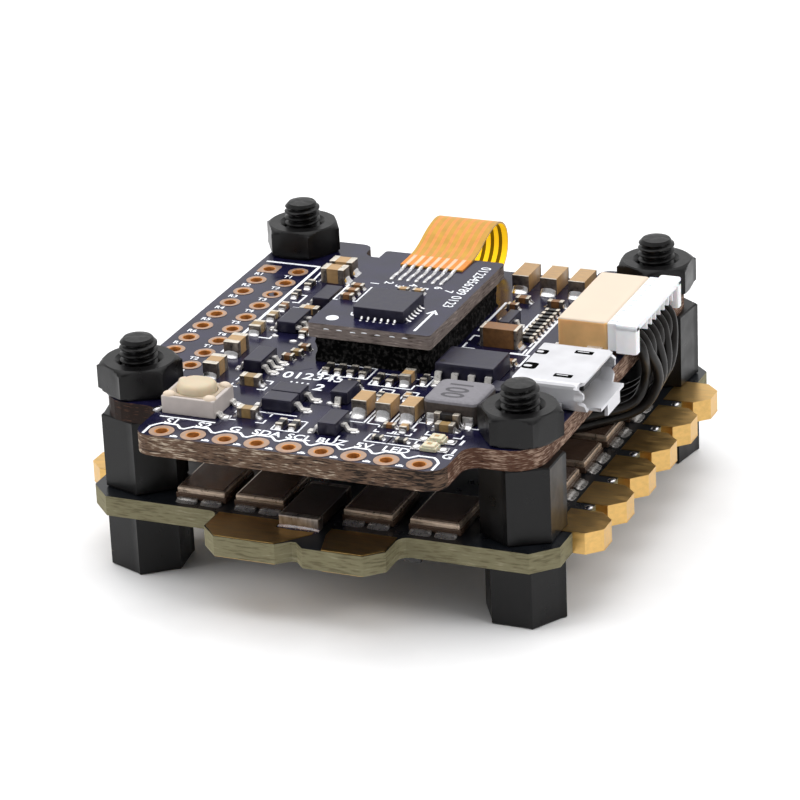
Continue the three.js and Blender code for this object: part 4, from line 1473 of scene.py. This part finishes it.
def add_gyro_parts():
    """Small parts, the soldered tracks that run on from the ribbon, and pale marks on the front edge."""
    z = IMU_TOP
    parts = Shape()
    for y in (0.3, -0.75, -1.8):
        chip_part(parts, (-4.45, -3.45), (y - 0.28, y + 0.28), z, 0.45, "brown_ceramic", 0, 0.24, 0.16)
    for x in (-0.3, 0.95):
        chip_part(parts, (x - 0.45, x + 0.45), (0.45, 0.98), z, 0.4, "tan_ceramic", 0, 0.2, 0.14)
    for x in RIBBON_TRACKS:
        route = [(x, 6.35), (x, 5.2), (x + 0.08, 4.9), (x + 0.08, 4.3), (x, 4.0), (x, 2.9)]
        parts.line(route, z, 0.28, "solder", 0.1)
        parts.dome(x, 5.7, z + 0.03, 0.19, 0.55, 0.2, "solder")
        parts.dome(x + 0.04, 4.1, z + 0.03, 0.16, 0.5, 0.14, "solder")
        parts.dome(x, 3.0, z + 0.02, 0.17, 0.25, 0.12, "solder")
    rng = random.Random(3)
    for k in range(7):
        x = -3.4 + 1.05 * k + rng.uniform(-0.1, 0.1)
        parts.dome(x, -7.14, 17.08 + rng.uniform(-0.04, 0.04), 0.26, 0.03, 0.09, "ink")
    parts.piece("gyro_small_parts", body="gyro")


add_gyro_printing()
add_gyro_parts()


# ---- micro USB socket ----


USB_MOUTH = 18.45
USB_MIDDLE = -7.25
USB_TOP = FC_TOP + 2.45
# Each notch in the mouth's rim: distance from the middle, height over the board, radius.
MOUTH_NOTCHES = ((3.49, 2.24, 0.5), (3.57, 0.9, 0.34))
NOTCH_DEPTH = 0.5
RIM_DEPTH = 0.7  # the part of the shell behind the mouth that is reshaped
# Cuts across the rim that give the notches their shape: heights over the board, distances from the middle.
RIM_HEIGHTS = (0.6, 0.7, 0.8, 0.9, 1.0, 1.1, 1.2, 1.3, 1.6, 1.75, 1.85, 1.95, 2.05)
RIM_ACROSS = (-3.2, -3.05, 3.05, 3.2)
LIP_CURL = 0.14  # how far the side lips' ends turn inward


def cut_mouth_notches(work):
    """Sets the mouth's rim back where its top, side and bottom lips part, and curls the side lips inward."""
    def slice_rim(place, normal):
        inner = (USB_MOUTH - RIM_DEPTH - 0.02) * MM
        rim = [f for f in work.faces if min(v.co.x for v in f.verts) > inner]
        parts = {*rim, *(e for f in rim for e in f.edges), *(v for f in rim for v in f.verts)}
        bmesh.ops.bisect_plane(work, geom=list(parts), plane_co=place, plane_no=normal)

    everything = work.verts[:] + work.edges[:] + work.faces[:]
    rim_start = at(USB_MOUTH - RIM_DEPTH, 0, 0)
    bmesh.ops.bisect_plane(work, geom=everything, plane_co=rim_start, plane_no=(1, 0, 0))
    for height in RIM_HEIGHTS:
        slice_rim(at(0, 0, FC_TOP + height), (0, 0, 1))
    for across in RIM_ACROSS:
        slice_rim(at(0, USB_MIDDLE + across, 0), (0, 1, 0))
    for vertex in work.verts:
        x, y, z = vertex.co / MM
        from_middle = y - PATTERN_SHIFT - USB_MIDDLE
        if abs(x - USB_MOUTH) > 0.01:
            continue
        for notch_y, notch_z, radius in MOUTH_NOTCHES:
            away = math.hypot(abs(from_middle) - notch_y, z - FC_TOP - notch_z) / radius
            vertex.co.x -= NOTCH_DEPTH * MM * max(0, 1 - away ** 2)
        if abs(from_middle) > 3.3 and 1.25 < z - FC_TOP < 1.7:
            vertex.co.y -= math.copysign(LIP_CURL * MM, from_middle)


# Openings in the shell's top, drawn as near-black patches of painted shade laid on the shell: x range, y
# range and corner radius.
USB_OPENINGS = [
    *(((15.72, 17.15), (y - 0.3, y + 0.3), 0.08) for y in (-9.5, -4.9)),
    ((12.88, 13.85), (-6.05, -5.2), 0.2),
    ((12.88, 14.0), (-8.95, -7.75), 0.25),
]
# Springs seen in them: x range, y range, corner radius and how far they stand out from the shell's top.
USB_SPRINGS = [
    *(((15.9, 16.8), (y + 0.02, y + 0.14), 0.05, 0.012) for y in (-9.5, -4.9)),
    ((12.95, 13.5), (-5.78, -5.42), 0.15, 0.010),
    ((12.95, 13.6), (-8.6, -8.2), 0.17, 0.010),
]


def add_usb():
    """The shell with its openings as patches of painted shade, four soldered feet, five contacts and their
    tails.
    """
    refined("usb_shell", lambda normal, centre: "steel", edge=0.04, sharp=30,
            reshape=cut_mouth_notches)
    refined("usb_tongue", lambda normal, centre: "black_plastic", edge=0.04)
    z = FC_TOP
    extra = Shape()
    for x, y, corner in USB_OPENINGS:
        extra.block(x, y, (USB_TOP - 0.1, USB_TOP + 0.004), "painted_opening_shade", 0.002, corner)
    for x, y, corner, rise in USB_SPRINGS:
        extra.block(x, y, (USB_TOP - 0.1, USB_TOP + rise), "steel", 0.004, corner)
    for side in (-1, 1):
        for foot_x in (13.6, 16.2):
            path = []
            for across, height in ((3.62, 0.9), (3.72, 0.25), (4.1, 0.07)):
                path.append((foot_x, USB_MIDDLE + side * across, z + height))
            extra.strip(path, 1.1, 0.16, "steel", across=(1, 0, 0))
            extra.dome(foot_x, USB_MIDDLE + side * 4.05, z, 0.75, 0.5, 0.22, "solder")
    for k in range(5):
        y = USB_MIDDLE + (k - 2) * 0.65
        extra.strip([(14.3, y, z + 1.22), (17.7, y, z + 1.22)], 0.3, 0.06, "gold", across=(0, 1, 0))
        tail = [(12.95, y, z + 0.3), (12.6, y, z + 0.12), (12.2, y, z + 0.06)]
        extra.strip(tail, 0.26, 0.1, "tin", across=(0, 1, 0))
    extra.piece("usb_shell_fittings")


add_usb()


# ---- harness connectors ----


def socket_face(normal, centre):
    # tops take the beige nylon; the sides take the deeper amber copy, as painted shade
    return "beige_nylon" if normal.z > 0.5 else "amber_nylon_painted_shade"


def add_plug(prefix, x, y, z):
    """The plug's narrow body, the wider hood and ears over the wires, and thin ribs between the wires."""
    shape = Shape()
    top = z + 2.95
    floor = z + 0.7
    hood = (x + 4.75, x + 6.44)
    shape.block((x + 1.1, x + 4.1), (y - 4.1, y + 4.1), (floor, z + 2.3), "white_nylon")
    shape.block((x + 4.0, x + 4.85), (y - 5.0, y + 5.0), (floor, top - 0.04), "white_nylon", 0.06)
    shape.block(hood, (y - 5.4, y + 5.4), (top - 0.4, top + 0.1), "white_nylon", 0.12, 0.2)
    shape.block(hood, (y - 5.4, y - 4.45), (floor, top - 0.1), "white_nylon", 0.06, 0.2)
    shape.block(hood, (y + 4.55, y + 5.4), (floor, top - 0.1), "white_nylon", 0.06, 0.2)
    for k in range(WIRE_COUNT + 1):
        rib = y + (k - 4) * 1.1
        level = (top - 0.1, top + 0.03)
        shape.block((x + 4.12, x + 4.8), (rib - 0.12, rib + 0.12), level, "white_nylon", 0.03)
    for k in range(WIRE_COUNT - 1):
        rib = y + (k - 3) * WIRE_PITCH
        level = (top - 1.0, top - 0.3)
        shape.block((x + 4.8, x + 6.5), (rib - 0.07, rib + 0.07), level, "white_nylon", 0.03)
    shape.piece(prefix + "_plug_detail", stands_for=[prefix + "_plug"])


def add_connector_pair(prefix, x, y, z):
    """A socket and its plug, with rear ribs, pins and solder tabs; x and y are the middle of the rear."""
    refined(prefix + "_socket", socket_face, edge=0.22, segments=4)
    add_plug(prefix, x, y, z)
    pins = Shape()
    for k in range(WIRE_COUNT + 1):
        rib = y + (k - 4) * WIRE_PITCH
        pins.block((x - 0.1, x + 0.12), (rib - 0.2, rib + 0.2), (z + 0.5, z + 2.5), "beige_nylon", 0.08)
    for k in range(WIRE_COUNT):
        pin = y + (k - 3.5) * WIRE_PITCH
        path = [(x + 0.1, pin, z + 0.25), (x - 0.25, pin, z + 0.12), (x - 0.75, pin, z + 0.08)]
        pins.strip(path, 0.3, 0.12, "tin", across=(0, 1, 0))
        pins.dome(x - 0.5, pin, z, 0.36, 0.24, 0.16, "solder")
    for side in (-1, 1):
        tab = sorted((y + side * 4.95, y + side * 5.35))
        pins.block((x + 2.4, x + 3.6), tab, (z, z + 0.9), "tin", 0.05)
        pins.fillet(x + 3.0, y + side * 5.35, z, (0, side), 0.5, 0.4, 1.3)
    pins.piece(prefix + "_connector_pins")


add_connector_pair("fc", 12.5, 5.05, FC_TOP)
add_connector_pair("esc", -9.6, -3.2, ESC_TOP)


# ---- boot button ----


# The cap's outline, from its top down: inset and drop.
CAP_PROFILE = ((0.9, 0), (0.5, 0.008), (0.31, 0.03), (0.18, 0.09), (0.09, 0.18), (0.03, 0.29), (0, 0.44))


def add_button_cap():
    x, y, (bottom, top) = span("boot_button_cap")
    heights = [(inset, top - drop) for inset, drop in reversed(CAP_PROFILE)]
    rings = []
    for inset, height in [(0, bottom), *heights]:
        rings.append([(px, py, height) for px, py in oblong(x, y, inset, 1.2, steps=8)])
    cap = Shape()
    cap.loft(rings, "switch_cream")
    cap.piece("boot_button_cap_detail", body="button_cap", stands_for=["boot_button_cap"],
              sharp=60)


def add_button_fittings():
    """The body's holed plate, with a pale rivet in each corner, and four soldered feet."""
    x, y, z = span("boot_button_body")
    plate = Shape()
    half = ((x[1] - x[0]) / 2 - 0.3, (y[1] - y[0]) / 2 - 0.25)
    level = (z[1] - 0.02, z[1] + 0.05)
    plate.holed_plate(sum(x) / 2, sum(y) / 2, half, (1.62, 1.42), level, "switch_plate", 48)
    for px in (x[0] + 0.5, x[1] - 0.5):
        for py in (y[0] + 0.42, y[1] - 0.42):
            plate.dome(px, py, z[1] - 0.02, 0.5, 0.42, 0.32, "beige_nylon", 20)
    plate.piece("boot_button_plate")
    feet = Shape()
    for px, side in ((x[0], -1), (x[1], 1)):
        for py in (y[0] + 0.55, y[1] - 0.55):
            path = []
            for out, height in ((-0.1, 0.35), (0.18, 0.3), (0.3, 0.1), (0.7, 0.07)):
                path.append((px + side * out, py, FC_TOP + height))
            feet.strip(path, 0.6, 0.13, "tin", across=(0, 1, 0))
            feet.dome(px + side * 0.6, py, FC_TOP, 0.4, 0.42, 0.2, "solder")
    feet.piece("boot_button_feet")


refined("boot_button_body", lambda normal, centre: "switch_grey", edge=0.07)
add_button_cap()
add_button_fittings()


# ---- speed controller ----

TAB_ROWS = [-12.65 + 5.04 * k for k in range(6)]
# One tab's plating on the right side, with y from the tab's middle.
TAB_OUTLINE = [(17.25, -1.93), (19.72, -1.93), (20.82, -0.85), (20.82, 0.85), (19.72, 1.93), (17.25, 1.93)]
PLATE_THICKNESS = 0.06


def flat_plate(shape, outline, z, finish_name):
    level = [[(x, y, height) for x, y in outline] for height in (z, z + PLATE_THICKNESS)]
    shape.loft(level, finish_name)


def add_tab_pads():
    for name, side in (("right", 1), ("left", -1)):
        pads = Shape()
        for y in TAB_ROWS:
            outline = [(side * px, y + py) for px, py in TAB_OUTLINE]
            if side < 0:
                outline.reverse()
            flat_plate(pads, outline, ESC_TOP - 0.005, "gold")
            flat_plate(pads, outline, ESC_BOTTOM - 0.055, "gold")
        for y in TAB_ROWS[:-1]:
            pads.dome(side * 18.45, y + 2.52, ESC_TOP, 0.32, 0.4, 0.12, "solder")
        pads.piece(f"motor_tab_pads_{name}")


add_tab_pads()

LEFT_BATTERY_PAD = [
    (-7.5, -19.1), (-7.5, -21.5), (-6.2, -22.92), (-1.4, -22.92), (0.7, -20.6), (0.7, -20.3), (-2.4, -20.3),
    (-2.4, -19.1),
]
RIGHT_BATTERY_PAD = [(1.7, -20.4), (2.4, -22.92), (5.6, -22.92), (6.9, -21.7), (6.9, -19.3), (1.7, -19.3)]


def add_battery_pads():
    pads = Shape()
    for outline in (LEFT_BATTERY_PAD, RIGHT_BATTERY_PAD):
        flat_plate(pads, outline, ESC_TOP, "gold")
        flat_plate(pads, outline, ESC_BOTTOM - PLATE_THICKNESS, "gold")
    pads.piece("battery_pads")


add_battery_pads()


# Places of the terminals along a transistor's outer and inner side, from its middle.
PAIR = (-1.0, 1.0)
FOUR = (-1.45, -0.5, 0.5, 1.45)
TERMINAL_HALF = 0.8  # half a wide terminal's width
TERMINAL_REACH = 0.35


def mosfet_terminals(node, x, y):
    """Places and headings of the two wide terminals on the outer side and the four leads on the inner."""
    cx, cy = sum(x) / 2, sum(y) / 2
    if "front" in node:
        return [(cx + off, y[0], FRONT) for off in PAIR], [(cx + off, y[1], BACK) for off in FOUR]
    if "right" in node:
        return [(x[1], cy + off, RIGHT) for off in PAIR], [(x[0], cy + off, LEFT) for off in FOUR]
    return [(x[0], cy + off, LEFT) for off in PAIR], [(x[1], cy + off, RIGHT) for off in FOUR]


def mosfet(node):
    """A power transistor: base, bright rim, raised cover, two wide terminals and four leads."""
    x, y, z = span(node)
    shape = Shape()
    shape.block(x, y, (z[0] + 0.05, z[0] + 0.5), "mosfet_epoxy", 0.05)
    rim = [(low + 0.08, high - 0.08) for low, high in (x, y)]
    shape.block(*rim, (z[0] + 0.4, z[1] - 0.05), "mosfet_rim", 0.16, 0.1)
    cover = [(low + 0.26, high - 0.26) for low, high in (x, y)]
    shape.block(*cover, (z[0] + 0.6, z[1]), "mosfet_epoxy", 0.04, 0.06)
    outward, inward = mosfet_terminals(node, x, y)
    for px, py, (dx, dy) in outward:
        half_x, half_y = (dy != 0) * TERMINAL_HALF, (dx != 0) * TERMINAL_HALF
        foot_x = (px - half_x + min(dx * TERMINAL_REACH, 0), px + half_x + max(dx * TERMINAL_REACH, 0))
        foot_y = (py - half_y + min(dy * TERMINAL_REACH, 0), py + half_y + max(dy * TERMINAL_REACH, 0))
        # the wide terminal and its solder take the darker copy of tin, as painted shade
        shape.block(foot_x, foot_y, (z[0], z[0] + 0.2), "tin_painted_shade", 0.05)
        wide = TERMINAL_HALF * 2.1
        shape.fillet(px + dx * 0.3, py + dy * 0.3, z[0], (dx, dy), 0.5, 0.24, wide, "tin_painted_shade")
    for px, py, heading in inward:
        gull_lead(shape, px, py, heading, z[0], 0.3, 0.5, 0.5)
    shape.piece(node + "_detail", stands_for=[node])


for place in ("right", "left", "front"):
    for k in range(1, 5):
        mosfet(f"mosfet_{place}_{k}")


def add_shunt():
    """A coated strip with a wide metal end, front and back."""
    x, y, z = span("current_shunt")
    middle = sum(x) / 2
    shape = Shape()
    coat = [(x[0] + 0.04, x[1] - 0.04), (y[0] + 0.5, y[1] - 0.5), (z[0] + 0.1, z[1] + 0.012)]
    shape.block(*coat, "shunt_coat", 0.08)
    for low, high in ((y[0], y[0] + 0.95), (y[1] - 0.95, y[1])):
        shape.block(x, (low, high), (z[0], z[1] - 0.01), "shunt_end", 0.1)
    for edge, heading in ((y[0], FRONT), (y[1], BACK)):
        shape.fillet(middle, edge, z[0], heading, 0.45, 0.35, 3.3)
    shape.piece("current_shunt_detail", stands_for=["current_shunt"])


add_shunt()


def add_underside_part():
    """A small part below the front edge, which is all that shows of the underside."""
    shape = Shape()
    shape.block((7.1, 8.5), (-18.9, -18.1), (ESC_BOTTOM - 0.35, ESC_BOTTOM), "resistor_black")
    shape.piece("esc_underside_part")


add_underside_part()
